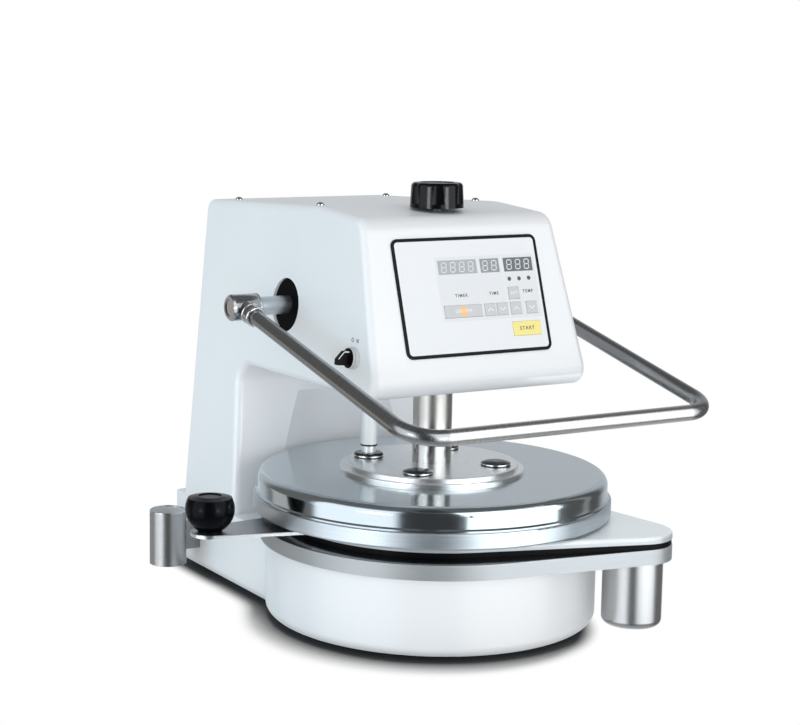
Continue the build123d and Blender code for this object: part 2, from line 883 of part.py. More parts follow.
# Crosshead clamped on the ram, with arms over the gas springs
with BuildPart() as crosshead:
    with BuildSketch(level(cross_low)) as cross_outline:
        with Locations((0, (cross_front + rack_back) / 2)):
            Rectangle(2 * cross_half_w, rack_back - cross_front)
        front_corners = cross_outline.vertices().group_by(Axis.Y)[0]
        fillet(front_corners, cross_round)
    extrude(amount=cross_high - cross_low)
    with BuildSketch(level(arm_z)):
        SlotOverall(2 * cross_arm_half_w, 2 * cross_arm_half_d)
    extrude(amount=cross_high - cross_low - 2 * cross_arm_inset)
    with BuildSketch(level(cross_low)):
        Circle(ram_r)
    extrude(amount=cross_high - cross_low, mode=Mode.SUBTRACT)
crosshead.part.label = "crosshead"
export_step(crosshead.part, "parts/crosshead.step")

# Tooth sizes shared by the rack and the pinion
pitch_r = tooth_module * pinion_teeth / 2
tooth_pitch = pi * tooth_module
tip_r = pitch_r + tooth_module
root_r = pitch_r - tooth_module - tip_clear
base_circle_r = pitch_r * cos(radians(pressure_angle))
pitch_y = shaft_y - pitch_r
flank_slope = tan(radians(pressure_angle))


def involute(radius):
    """Angle that an involute has turned through at a radius, in radians."""
    roll = acos(base_circle_r / radius)
    return tan(roll) - roll


def flank_point(radius, way):
    """Point of a pinion tooth's flank; the tooth points to the front of the shaft."""
    half_tooth = pi / (2 * pinion_teeth) - backlash / (4 * pitch_r)
    turn = half_tooth + involute(pitch_r) - involute(max(radius, base_circle_r))
    return (-radius * cos(turn), way * radius * sin(turn))


# Rack on the crosshead: a gap stands level with the shaft, where a pinion tooth sits in it
with BuildPart() as rack:
    with BuildSketch(side(-rack_w / 2)) as rack_section:
        tip_y = pitch_y + tooth_module
        gap_root_y = pitch_y - tooth_module - tip_clear
        with Locations(((rack_back + tip_y) / 2, (rack_low + rack_high) / 2)):
            Rectangle(tip_y - rack_back, rack_high - rack_low)
        gap_half = tooth_pitch / 4 + backlash / 4
        mouth_half = gap_half + tooth_module * flank_slope
        bottom_half = gap_half - (tooth_module + tip_clear) * flank_slope
        gaps_below = int((shaft_z - rack_low) // tooth_pitch)
        gaps_above = int((rack_high - shaft_z) // tooth_pitch)
        for step in range(-gaps_below, gaps_above + 1):
            gap_z = shaft_z + step * tooth_pitch
            with BuildLine():
                Polyline(
                    (tip_y, gap_z - mouth_half),
                    (gap_root_y, gap_z - bottom_half),
                    (gap_root_y, gap_z + bottom_half),
                    (tip_y, gap_z + mouth_half),
                    close=True,
                )
            make_face(mode=Mode.SUBTRACT)
    extrude(amount=rack_w)
rack.part.label = "rack"
export_step(rack.part, "parts/rack.step")

# Pinion with involute teeth, keyed on the cross shaft
with BuildSketch() as tooth:
    with BuildLine():
        flank_radii = [base_circle_r + (tip_r - base_circle_r) * k / 3 for k in range(4)]
        upper = Spline(*[flank_point(r, 1) for r in flank_radii])
        lower = Spline(*[flank_point(r, -1) for r in flank_radii])
        Line(upper @ 1, lower @ 1)
        foot_up = Line(upper @ 0, flank_point(root_r - tip_clear, 1))
        foot_down = Line(lower @ 0, flank_point(root_r - tip_clear, -1))
        Line(foot_up @ 1, foot_down @ 1)
    make_face()

with BuildPart() as drive_pinion:
    with BuildSketch(side(-pinion_w / 2)):
        with Locations((shaft_y, shaft_z)):
            Circle(root_r)
            with PolarLocations(0, pinion_teeth):
                add(tooth.sketch)
            Circle(shaft_r, mode=Mode.SUBTRACT)
    extrude(amount=pinion_w)
    with BuildSketch(side(pinion_w / 2)):
        with Locations((shaft_y, shaft_z)):
            Circle(pinion_hub_r)
            Circle(shaft_r, mode=Mode.SUBTRACT)
    extrude(amount=pinion_hub_l)
drive_pinion.part.label = "drive_pinion"
export_step(drive_pinion.part, "parts/drive_pinion.step")

# Cross shaft, up to the tees' closed ends
with BuildPart() as cross_shaft:
    shaft_end = tee_out - tee_end_t
    with BuildSketch(side(-shaft_end)):
        with Locations((shaft_y, shaft_z)):
            Circle(shaft_r)
    extrude(amount=2 * shaft_end)
    chamfer(cross_shaft.faces().filter_by(Axis.X).edges(), shaft_r / 12)
cross_shaft.part.label = "cross_shaft"
export_step(cross_shaft.part, "parts/cross_shaft.step")

# Plane of the U handle: sketch y runs from the shaft down the arms to the bar
arm_down = (0, (bar_y - shaft_y) / arm_l, (bar_z - shaft_z) / arm_l)
arm_normal = (0, -arm_down[2], arm_down[1])
arm_plane = Plane(
    origin=(axis_x, axis_y + shaft_y, shaft_z), x_dir=(1, 0, 0), z_dir=arm_normal
)

# Handle: one bent stainless tube
with BuildPart() as handle_tube:
    with BuildLine(arm_plane) as handle_path:
        FilletPolyline(
            (-handle_half_w, handle_tube_start),
            (-handle_half_w, arm_l),
            (handle_half_w, arm_l),
            (handle_half_w, handle_tube_start),
            radius=handle_bend_r,
        )
    with BuildSketch(Plane(handle_path.line @ 0, z_dir=handle_path.line % 0)):
        Circle(handle_tube_r)
        Circle(handle_tube_r - handle_tube_t, mode=Mode.SUBTRACT)
    sweep()
handle_tube.part.label = "handle_tube"
export_step(handle_tube.part, "parts/handle_tube.step")

# Tees that clamp the tube's ends on the shaft, closed and slightly dished at the outer end
with BuildPart() as handle_tees:
    for way in (-1, 1):
        with BuildSketch(side(way * handle_half_w - tee_l / 2)):
            with Locations((shaft_y, shaft_z)):
                Circle(tee_r)
        extrude(amount=tee_l)
    tee_ends = handle_tees.faces().filter_by(Axis.X).sort_by(Axis.X)
    chamfer((tee_ends[0].edges(), tee_ends[-1].edges()), tee_edge)
    for way in (-1, 1):
        with BuildSketch(side(way * tee_out)):
            with Locations((shaft_y, shaft_z)):
                Circle(tee_dish_r)
        extrude(amount=-way * tee_dish_depth, mode=Mode.SUBTRACT)
        socket_at = arm_plane.from_local_coords((way * handle_half_w, 0, 0))
        socket = Plane(socket_at, x_dir=(1, 0, 0), z_dir=arm_down)
        with BuildSketch(socket):
            Circle(tee_socket_r)
        extrude(amount=tee_socket_l)
        with BuildSketch(socket.offset(handle_tube_start)):
            Circle(handle_tube_r)
        extrude(amount=tee_socket_l, mode=Mode.SUBTRACT)
        with BuildSketch(side(way * shaft_end)):
            with Locations((shaft_y, shaft_z)):
                Circle(shaft_r)
        extrude(amount=way * (tee_end_t - tee_l), mode=Mode.SUBTRACT)
handle_tees.part.label = "handle_tees"
export_step(handle_tees.part, "parts/handle_tees.step")

# Heated platen with a broken lower edge
with BuildPart() as heated_platen:
    with BuildSketch(level(platen_z)):
        Circle(platen_r)
    extrude(amount=platen_t)
    fillet(heated_platen.edges(), platen_edge_r)
heated_platen.part.label = "heated_platen"
export_step(heated_platen.part, "parts/heated_platen.step")

# Polished cover: spun sheet with a rolled shoulder and a bead round its foot
with BuildPart() as platen_cover:
    with BuildSketch(upright(0, 0)):
        with BuildLine():
            Polyline(
                (hub_boss_r + inner_clear, cover_top),
                (cover_r - cover_round, cover_top),
            )
            ThreePointArc(
                (cover_r - cover_round, cover_top),
                (
                    cover_r - cover_round * (1 - cos(pi / 4)),
                    cover_top - cover_round * (1 - sin(pi / 4)),
                ),
                (cover_r, cover_top - cover_round),
            )
            Polyline(
                (cover_r, cover_top - cover_round),
                (cover_r, cover_z + cover_bead_h),
                (cover_r + cover_bead, cover_z + cover_bead_h / 2),
                (cover_r + cover_bead, cover_z),
                (cover_r - cover_t, cover_z),
                (cover_r - cover_t, cover_top - cover_round),
            )
            ThreePointArc(
                (cover_r - cover_t, cover_top - cover_round),
                (
                    cover_r - cover_round + (cover_round - cover_t) * cos(pi / 4),
                    cover_top - cover_round + (cover_round - cover_t) * sin(pi / 4),
                ),
                (cover_r - cover_round, cover_top - cover_t),
            )
            Polyline(
                (cover_r - cover_round, cover_top - cover_t),
                (hub_boss_r + inner_clear, cover_top - cover_t),
                (hub_boss_r + inner_clear, cover_top),
            )
        make_face()
    revolve(axis=turning(0, 0))
    with BuildSketch(level(cover_top)):
        with PolarLocations(plug_pcd / 2, 4, start_angle=plug_angle):
            Circle(plug_shank_r)
    extrude(amount=-cover_t, mode=Mode.SUBTRACT)
platen_cover.part.label = "platen_cover"
export_step(platen_cover.part, "parts/platen_cover.step")

# Stepped hub that carries the platen on the ram
with BuildPart() as platen_hub:
    with BuildSketch(level(cover_z)):
        Circle(hub_boss_r)
    extrude(amount=cover_h)
    with BuildSketch(level(cover_top)):
        Circle(hub_r)
    extrude(amount=hub_step_h)
    with BuildSketch(level(hub_mid)):
        Circle(hub_upper_r)
    extrude(amount=hub_step_h)
    rims = platen_hub.edges().filter_by(GeomType.CIRCLE)
    upper_rims = [e for e in rims if e.center().Z > cover_top + hub_round and e.radius > hub_boss_r]
    outer_rims = [e for e in upper_rims if e.center().Z > hub_mid + hub_round or e.radius > hub_upper_r]
    fillet(outer_rims, hub_round)
    with BuildSketch(level(ram_low)):
        Circle(ram_r)
    extrude(amount=hub_top - ram_low, mode=Mode.SUBTRACT)
    with BuildSketch(level(cover_top)):
        with PolarLocations(plug_pcd / 2, 4, start_angle=plug_angle):
            Circle(plug_shank_r)
    extrude(amount=2 * hub_step_h, mode=Mode.SUBTRACT)
platen_hub.part.label = "platen_hub"
export_step(platen_hub.part, "parts/platen_hub.step")

# Low domed bolts through the hub; the fourth place holds the wire tube's foot
with BuildPart() as hub_bolts:
    for bolt_x, bolt_y in ((plug_at, plug_at), (-plug_at, -plug_at), (plug_at, -plug_at)):
        with BuildSketch(upright(bolt_x, bolt_y)):
            with BuildLine():
                Polyline(
                    (plug_crown_r, hub_top + plug_h),
                    (0, hub_top + plug_h),
                    (0, hub_top - plug_shank_l),
                    (plug_shank_r, hub_top - plug_shank_l),
                    (plug_shank_r, hub_top),
                    (plug_d / 2, hub_top),
                    (plug_d / 2, hub_top + plug_h - plug_dome),
                )
                TangentArc(
                    (plug_crown_r, hub_top + plug_h),
                    (plug_d / 2, hub_top + plug_h - plug_dome),
                    tangent=(1, 0),
                )
            make_face()
        revolve(axis=turning(bolt_x, bolt_y))
hub_bolts.part.label = "hub_bolts"
export_step(hub_bolts.part, "parts/hub_bolts.step")

# Foot of the wire tube, with a neck that plugs into it
with BuildPart() as tube_foot:
    with BuildSketch(level(hub_top - plug_shank_l)):
        with Locations((-plug_at, plug_at)):
            Circle(plug_shank_r)
    extrude(amount=plug_shank_l)
    with BuildSketch(level(hub_top)):
        with Locations((-plug_at, plug_at)):
            Circle(tube_foot_r)
    extrude(amount=plug_h)
    fillet(tube_foot.faces().sort_by(Axis.Z)[-1].edges(), plug_dome)
    with BuildSketch(level(hub_top + plug_h)):
        with Locations((-plug_at, plug_at)):
            Circle(wire_tube_r - wire_tube_wall)
    extrude(amount=tube_neck_h + tube_spigot_h)
    with BuildSketch(level(hub_top - plug_shank_l)):
        with Locations((-plug_at, plug_at)):
            Circle(wire_bore_r)
    extrude(amount=plug_shank_l + plug_h + tube_neck_h + tube_spigot_h, mode=Mode.SUBTRACT)
tube_foot.part.label = "tube_foot"
export_step(tube_foot.part, "parts/tube_foot.step")

# White tube that takes the heater's wires up into the head
tube_z = hub_top + plug_h + tube_neck_h
with BuildPart() as wire_tube:
    with BuildSketch(level(tube_z)):
        with Locations((-plug_at, plug_at)):
            Circle(wire_tube_r)
            Circle(wire_tube_r - wire_tube_wall, mode=Mode.SUBTRACT)
    extrude(amount=wire_tube_high - tube_z)
wire_tube.part.label = "wire_tube"
export_step(wire_tube.part, "parts/wire_tube.step")

# Heater ring on the platen, under the insulation
with BuildPart() as heater_ring:
    with BuildSketch(level(cover_z)):
        Circle(heater_out_r)
        Circle(heater_in_r, mode=Mode.SUBTRACT)
    extrude(amount=heater_h)
heater_ring.part.label = "heater_ring"
export_step(heater_ring.part, "parts/heater_ring.step")

with BuildPart() as insulation:
    with BuildSketch(level(cover_z + heater_h)):
        Circle(insulation_r)
        Circle(hub_boss_r + inner_clear, mode=Mode.SUBTRACT)
        with PolarLocations(plug_pcd / 2, 4, start_angle=plug_angle):
            Circle(plug_shank_r + inner_clear, mode=Mode.SUBTRACT)
    extrude(amount=insulation_h)
insulation.part.label = "insulation"
export_step(insulation.part, "parts/insulation.step")

# Fixed lower plate: a disc drawn out to a rounded tab over the pivot
with BuildPart() as lower_plate:
    with BuildSketch(level(base_top)):
        Circle(lower_plate_r)
        with Locations((pivot_x, pivot_y)):
            Circle(tab_end_r)
        make_hull()
    extrude(amount=lower_plate_t)
    fillet(lower_plate.faces().sort_by(Axis.Z)[-1].edges(), lower_edge_r)
    with BuildSketch(level(base_top)):
        with Locations((pivot_x, pivot_y)):
            Circle(pivot_bush_r)
    extrude(amount=lower_plate_t, mode=Mode.SUBTRACT)
lower_plate.part.label = "lower_plate"
export_step(lower_plate.part, "parts/lower_plate.step")

# Pivot case under the tab: deep-drawn stainless cup with a rounded bottom
with BuildPart() as pivot_case:
    with BuildSketch(level(pivot_case_low)):
        with Locations((pivot_x, pivot_y)):
            Circle(pivot_case_r)
    extrude(amount=base_top - pivot_case_low)
    fillet(pivot_case.faces().sort_by(Axis.Z)[0].edges(), pivot_case_round)
    with BuildSketch(level(pivot_case_low + pivot_case_round)):
        with Locations((pivot_x, pivot_y)):
            Circle(pivot_case_r - pivot_case_t)
    extrude(amount=base_top - pivot_case_low - pivot_case_round, mode=Mode.SUBTRACT)
pivot_case.part.label = "pivot_case"
export_step(pivot_case.part, "parts/pivot_case.step")

# Bush in the tab and case that the tray's pin turns in
with BuildPart() as pivot_bush:
    with BuildSketch(level(base_top)):
        with Locations((pivot_x, pivot_y)):
            Circle(pivot_bush_r)
    extrude(amount=lower_plate_t)
    with BuildSketch(level(pivot_bush_low)):
        with Locations((pivot_x, pivot_y)):
            Circle(pivot_case_r - pivot_case_t)
    extrude(amount=base_top - pivot_bush_low)
    with BuildSketch(level(pivot_bush_low)):
        with Locations((pivot_x, pivot_y)):
            Circle(pivot_pin_r + run_fit)
    extrude(amount=lower_top - pivot_bush_low, mode=Mode.SUBTRACT)
pivot_bush.part.label = "pivot_bush"
export_step(pivot_bush.part, "parts/pivot_bush.step")

# Outline of the tray's handle plate, from the tongue in the tray to the rounded end
handle_way = Plane(
    origin=(axis_x, axis_y, handle_plate_z),
    x_dir=(cos(radians(tray_handle_angle)), sin(radians(tray_handle_angle)), 0),
    z_dir=(0, 0, 1),
)
with BuildSketch() as tray_handle_outline:
    with Locations((tray_handle_root_at - tray_handle_root_l / 2, 0)):
        Rectangle(tray_handle_root_l, tray_handle_root_w)
    with Locations((tray_handle_at, 0)):
        Circle(tray_handle_end_r)
    make_hull()

# Swing tray: aluminium plate with the lower plate's drop outline on a smaller disc
with BuildPart() as tray_plate:
    with BuildSketch(level(tray_z)):
        Circle(tray_r)
        with Locations((pivot_x, pivot_y)):
            Circle(tab_end_r)
        make_hull()
    extrude(amount=tray_t)
    fillet(tray_plate.faces().sort_by(Axis.Z)[-1].edges(), tray_edge_r)
    with BuildSketch(handle_way):
        add(tray_handle_outline.sketch)
    extrude(amount=tray_handle_t, mode=Mode.SUBTRACT)
    with BuildSketch(level(tray_z)):
        with Locations((pivot_x, pivot_y)):
            Circle(pivot_pin_r)
    extrude(amount=pivot_seat, mode=Mode.SUBTRACT)
tray_plate.part.label = "tray_plate"
export_step(tray_plate.part, "parts/tray_plate.step")

# Black slide pad under the tray
with BuildPart() as slide_pad:
    with BuildSketch(level(pad_z)):
        Circle(tray_r - pad_inset)
        with Locations((pivot_x, pivot_y)):
            Circle(tab_end_r - pad_inset)
        make_hull()
    extrude(amount=slide_pad_t)
    with BuildSketch(level(pad_z)):
        with Locations((pivot_x, pivot_y)):
            Circle(pivot_pin_r)
    extrude(amount=slide_pad_t, mode=Mode.SUBTRACT)
slide_pad.part.label = "slide_pad"
export_step(slide_pad.part, "parts/slide_pad.step")

# Pivot pin set into the tray from below, and the nut that holds it under the bush
with BuildPart() as pivot_pin:
    with BuildSketch(level(pivot_low)):
        with Locations((pivot_x, pivot_y)):
            Circle(pivot_pin_r)
    extrude(amount=tray_z + pivot_seat - pivot_low)
pivot_pin.part.label = "pivot_pin"
export_step(pivot_pin.part, "parts/pivot_pin.step")

with BuildPart() as pivot_nut:
    with BuildSketch(level(pivot_bush_low - body_gap - pivot_nut_h)):
        with Locations((pivot_x, pivot_y)):
            RegularPolygon(pivot_nut_r, 6)
            Circle(pivot_pin_r, mode=Mode.SUBTRACT)
    extrude(amount=pivot_nut_h)
pivot_nut.part.label = "pivot_nut"
export_step(pivot_nut.part, "parts/pivot_nut.step")

# Handle plate of the tray, with a hole for the knob's stud
with BuildPart() as tray_handle:
    with BuildSketch(handle_way):
        add(tray_handle_outline.sketch)
        with Locations((tray_handle_at, 0)):
            Circle(ball_stud_r, mode=Mode.SUBTRACT)
    extrude(amount=tray_handle_t)
tray_handle.part.label = "tray_handle"
export_step(tray_handle.part, "parts/tray_handle.step")

# Ball knob with a neck, a low coned cap and a dished crown
with BuildPart() as ball_knob:
    with BuildSketch(upright(ball_x, ball_y)):
        with BuildLine():
            neck_z = handle_plate_top + ball_neck_h
            waist_z = neck_z + sqrt((ball_d / 2) ** 2 - ball_neck_r**2)
            shoulder_z = waist_z + sqrt((ball_d / 2) ** 2 - ball_shoulder_r**2)
            crown_z = shoulder_z + ball_cap_h
            Polyline(
                (ball_shoulder_r, shoulder_z),
                (ball_top_r, crown_z),
                (0, crown_z),
                (0, handle_plate_top),
                (ball_neck_r, handle_plate_top),
                (ball_neck_r, neck_z),
            )
            ThreePointArc((ball_neck_r, neck_z), (ball_d / 2, waist_z), (ball_shoulder_r, shoulder_z))
        make_face()
    revolve(axis=turning(ball_x, ball_y))
    with BuildSketch(level(crown_z)):
        with Locations((ball_x, ball_y)):
            Circle(ball_dish_r)
    extrude(amount=-ball_dish_depth, mode=Mode.SUBTRACT)
    with BuildSketch(level(handle_plate_top)):
        with Locations((ball_x, ball_y)):
            Circle(ball_stud_r)
    extrude(amount=ball_stud_l, mode=Mode.SUBTRACT)
ball_knob.part.label = "ball_knob"
export_step(ball_knob.part, "parts/ball_knob.step")

with BuildPart() as ball_stud:
    with BuildSketch(level(handle_plate_z - ball_bolt_h)):
        with Locations((ball_x, ball_y)):
            Circle(ball_bolt_r)
    extrude(amount=ball_bolt_h)
    with BuildSketch(level(handle_plate_z)):
        with Locations((ball_x, ball_y)):
            Circle(ball_stud_r)
    extrude(amount=tray_handle_t + ball_stud_l)
ball_stud.part.label = "ball_stud"
export_step(ball_stud.part, "parts/ball_stud.step")

# Thickness knob: gloss moulding with wide shallow flutes, a plain skirt and a dished crown
knob_z = top_at(knob_d / 2) + knob_gap
knob_top_r = knob_d / 2 - knob_h * tan(radians(knob_taper))
with BuildPart() as thickness_knob:
    with BuildSketch(level(knob_z)):
        Circle(knob_d / 2)
    extrude(amount=knob_h, taper=knob_taper)
    with BuildSketch(level(knob_z + knob_skirt_h)):
        with PolarLocations(knob_top_r + knob_flute_r - knob_flute_depth, knob_flutes):
            Circle(knob_flute_r)
    extrude(amount=knob_h, mode=Mode.SUBTRACT)
    fillet(thickness_knob.faces().sort_by(Axis.Z)[-1].edges(), knob_round)
    with BuildSketch(level(knob_z + knob_h)):
        Circle(knob_dish_r)
    extrude(amount=-knob_dish_depth, mode=Mode.SUBTRACT)
    with BuildSketch(level(knob_z)):
        Circle(spindle_r)
    extrude(amount=spindle_into_knob, mode=Mode.SUBTRACT)
thickness_knob.part.label = "thickness_knob"
export_step(thickness_knob.part, "parts/thickness_knob.step")

# Spindle of the knob, carried on the bridge by its collar
with BuildPart() as stop_spindle:
    with BuildSketch(level(spindle_low)):
        Circle(spindle_r)
    extrude(amount=knob_z + spindle_into_knob - spindle_low)
    with BuildSketch(level(bridge_low + bridge_t + body_gap)):
        Circle(spindle_collar_r)
    extrude(amount=spindle_collar_h)
stop_spindle.part.label = "stop_spindle"
export_step(stop_spindle.part, "parts/stop_spindle.step")

# Stop nut inside the ram: the ram's cap comes down on it
with BuildPart() as stop_nut:
    with BuildSketch(level(ram_high - body_gap - nut_h)):
        Circle(ram_bore_r - body_gap)
        Circle(spindle_r + run_fit, mode=Mode.SUBTRACT)
    extrude(amount=nut_h)
stop_nut.part.label = "stop_nut"
export_step(stop_nut.part, "parts/stop_nut.step")

# Control layout on the panel: displays, lamps and keys
display_places = (
    (clock_display_x, clock_display_w),
    (time_display_x, time_display_w),
    (heat_display_x, heat_display_w),
)
led_places = [led_mid_x + step * led_step for step in (-1, 0, 1)]
arrow_places = (time_up_x, time_down_x, heat_up_x, heat_down_x)


def key_room(width, height):
    """Size of the panel's opening round a key."""
    return (width + 2 * key_gap, height + 2 * key_gap)


# Panel: thin plate on the leaning face, open for the displays, lamps and keys
with BuildPart() as control_panel:
    with BuildSketch(face(0)):
        RectangleRounded(panel_w, panel_h, panel_corner_r)
        for x, width in display_places:
            with Locations((x, display_row)):
                Rectangle(width, display_h, mode=Mode.SUBTRACT)
        with Locations(*[(x, led_row) for x in led_places]):
            Circle(led_r, mode=Mode.SUBTRACT)
        with Locations(*[(x, key_row) for x in arrow_places]):
            Rectangle(*key_room(key_w, key_h), mode=Mode.SUBTRACT)
        with Locations((arrow_places[2], key_upper_row)):
            Rectangle(*key_room(key_w, key_h), mode=Mode.SUBTRACT)
        with Locations((wide_key_x, key_row)):
            Rectangle(*key_room(wide_key_w, key_h), mode=Mode.SUBTRACT)
        with Locations((start_key_x, key_low_row)):
            Rectangle(*key_room(start_key_w, start_key_h), mode=Mode.SUBTRACT)
    extrude(amount=panel_t)
control_panel.part.label = "control_panel"
export_step(control_panel.part, "parts/control_panel.step")

# Circuit board behind the panel, with a small switch under each key
key_places = {
    "key_up_left": (arrow_places[0], key_row, key_w, key_h),
    "key_down_left": (arrow_places[1], key_row, key_w, key_h),
    "key_up_right": (arrow_places[2], key_row, key_w, key_h),
    "key_down_right": (arrow_places[3], key_row, key_w, key_h),
    "key_set": (arrow_places[2], key_upper_row, key_w, key_h),
    "key_power": (wide_key_x, key_row, wide_key_w, key_h),
    "key_start": (start_key_x, key_low_row, start_key_w, start_key_h),
}
stem_end = key_proud + panel_t - key_t - key_travel - body_gap
with BuildPart() as control_board:
    with BuildSketch(face(-board_back)):
        with Locations((0, window_shift)):
            Rectangle(board_w, board_h)
    extrude(amount=-board_t)
    with BuildSketch(face(-board_back)):
        with Locations(*[(x, y) for x, y, width, height in key_places.values()]):
            Rectangle(board_switch, board_switch)
    extrude(amount=board_back + stem_end - 2 * key_travel)
    post_x = board_w / 2 - board_post_inset
    post_y = board_h / 2 - board_post_inset
    with BuildSketch(face(-board_back)):
        with Locations((0, window_shift)):
            with GridLocations(2 * post_x, 2 * post_y, 2, 2):
                Circle(board_post_r)
    extrude(amount=board_back)
control_board.part.label = "control_board"
export_step(control_board.part, "parts/control_board.step")

# Digit displays and lamps that stand on the board and show through the panel
with BuildPart() as displays:
    for x, width in display_places:
        with BuildSketch(face(-board_back)):
            with Locations((x, display_row)):
                Rectangle(width, display_h)
        extrude(amount=board_back + panel_t - body_gap)
displays.part.label = "displays"
export_step(displays.part, "parts/displays.step")

with BuildPart() as indicator_leds:
    with BuildSketch(face(-board_back)):
        with Locations(*[(x, led_row) for x in led_places]):
            Circle(led_r)
    extrude(amount=board_back + panel_t + led_proud)
    lens_faces = indicator_leds.faces().group_by(Axis.Y)[0]
    fillet(lens_faces.edges(), led_proud)
indicator_leds.part.label = "indicator_leds"
export_step(indicator_leds.part, "parts/indicator_leds.step")

# Keys, each with a stem over its switch
for key_name, (x, y, width, height) in key_places.items():
    with BuildPart() as key:
        with BuildSketch(face(key_proud + panel_t)):
            with Locations((x, y)):
                RectangleRounded(width, height, key_corner_r)
        extrude(amount=-key_t)
        with BuildSketch(face(key_proud + panel_t - key_t)):
            with Locations((x, y)):
                Circle(key_stem_r)
        extrude(amount=-key_travel)
    key.part.label = key_name
    export_step(key.part, f"parts/{key_name}.step")

# Rotary switch: round base and box on the drafted wall, pointer knob outside
with BuildPart() as switch_base:
    with BuildSketch(wall(-1, 0, switch_y, switch_z)):
        Circle(switch_base_r)
    extrude(amount=switch_base_t)
    fillet(switch_base.faces().sort_by(Axis.X)[0].edges(), switch_base_t / 5)
    with BuildSketch(wall(-1, 0, switch_y, switch_z)):
        Circle(switch_stem_r + inner_clear)
    extrude(amount=-head_wall)
    with BuildSketch(wall(-1, -head_wall, switch_y, switch_z)):
        Rectangle(switch_box, switch_box)
    extrude(amount=-switch_box_depth)
    with BuildSketch(wall(-1, switch_base_t, switch_y, switch_z)):
        Circle(switch_stem_r + run_fit)
    extrude(amount=-switch_base_t - switch_stem_l, mode=Mode.SUBTRACT)
switch_base.part.label = "switch_base"
export_step(switch_base.part, "parts/switch_base.step")

# Pointer knob: round flange and a grip whose upper outer corner is cut away
switch_face = switch_base_t + body_gap
grip_out = (-cos(draft), 0, sin(draft))
grip_root = switch_face + switch_knob_t
grip_end = grip_root + switch_grip_h
with BuildPart() as switch_knob:
    with BuildSketch(wall(-1, switch_face, switch_y, switch_z)):
        Circle(switch_knob_r)
    extrude(amount=switch_knob_t)
    with BuildSketch(
        Plane(origin=wall(-1, 0, switch_y, switch_z).origin, x_dir=grip_out, z_dir=(0, 1, 0))
    ):
        with BuildLine():
            Polyline(
                (grip_root, -switch_grip_l / 2),
                (grip_end, -switch_grip_l / 2),
                (grip_end, switch_grip_tip - switch_grip_l / 2),
                (grip_root + switch_grip_flat, switch_grip_l / 2),
                (grip_root, switch_grip_l / 2),
                close=True,
            )
        make_face()
    extrude(amount=switch_grip_w / 2, both=True)
    with BuildSketch(wall(-1, switch_face, switch_y, switch_z)):
        Circle(switch_stem_r)
    extrude(amount=-switch_stem_l)
switch_knob.part.label = "switch_knob"
export_step(switch_knob.part, "parts/switch_knob.step")

# Utensil cup and the saddle bracket that holds it off the base's wall
with BuildPart() as utensil_cup:
    with BuildSketch(level(cup_low)):
        with Locations((cup_x, cup_y)):
            Circle(cup_r)
    extrude(amount=cup_h)
    with BuildSketch(level(cup_low + cup_wall)):
        with Locations((cup_x, cup_y)):
            Circle(cup_r - cup_wall)
    extrude(amount=cup_h, mode=Mode.SUBTRACT)
utensil_cup.part.label = "utensil_cup"
export_step(utensil_cup.part, "parts/utensil_cup.step")

with BuildPart() as cup_bracket:
    with BuildSketch(level(cup_bracket_z)):
        bracket_l = cup_stand_off + cup_saddle
        with Locations((-base_half_w - bracket_l / 2, cup_y)):
            Rectangle(bracket_l, cup_bracket_w)
        with Locations((cup_x, cup_y)):
            Circle(cup_r, mode=Mode.SUBTRACT)
    extrude(amount=cup_bracket_h)
cup_bracket.part.label = "cup_bracket"
export_step(cup_bracket.part, "parts/cup_bracket.step")
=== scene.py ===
from math import cos, pi, radians, sin

import bpy
from mathutils import Matrix, Vector


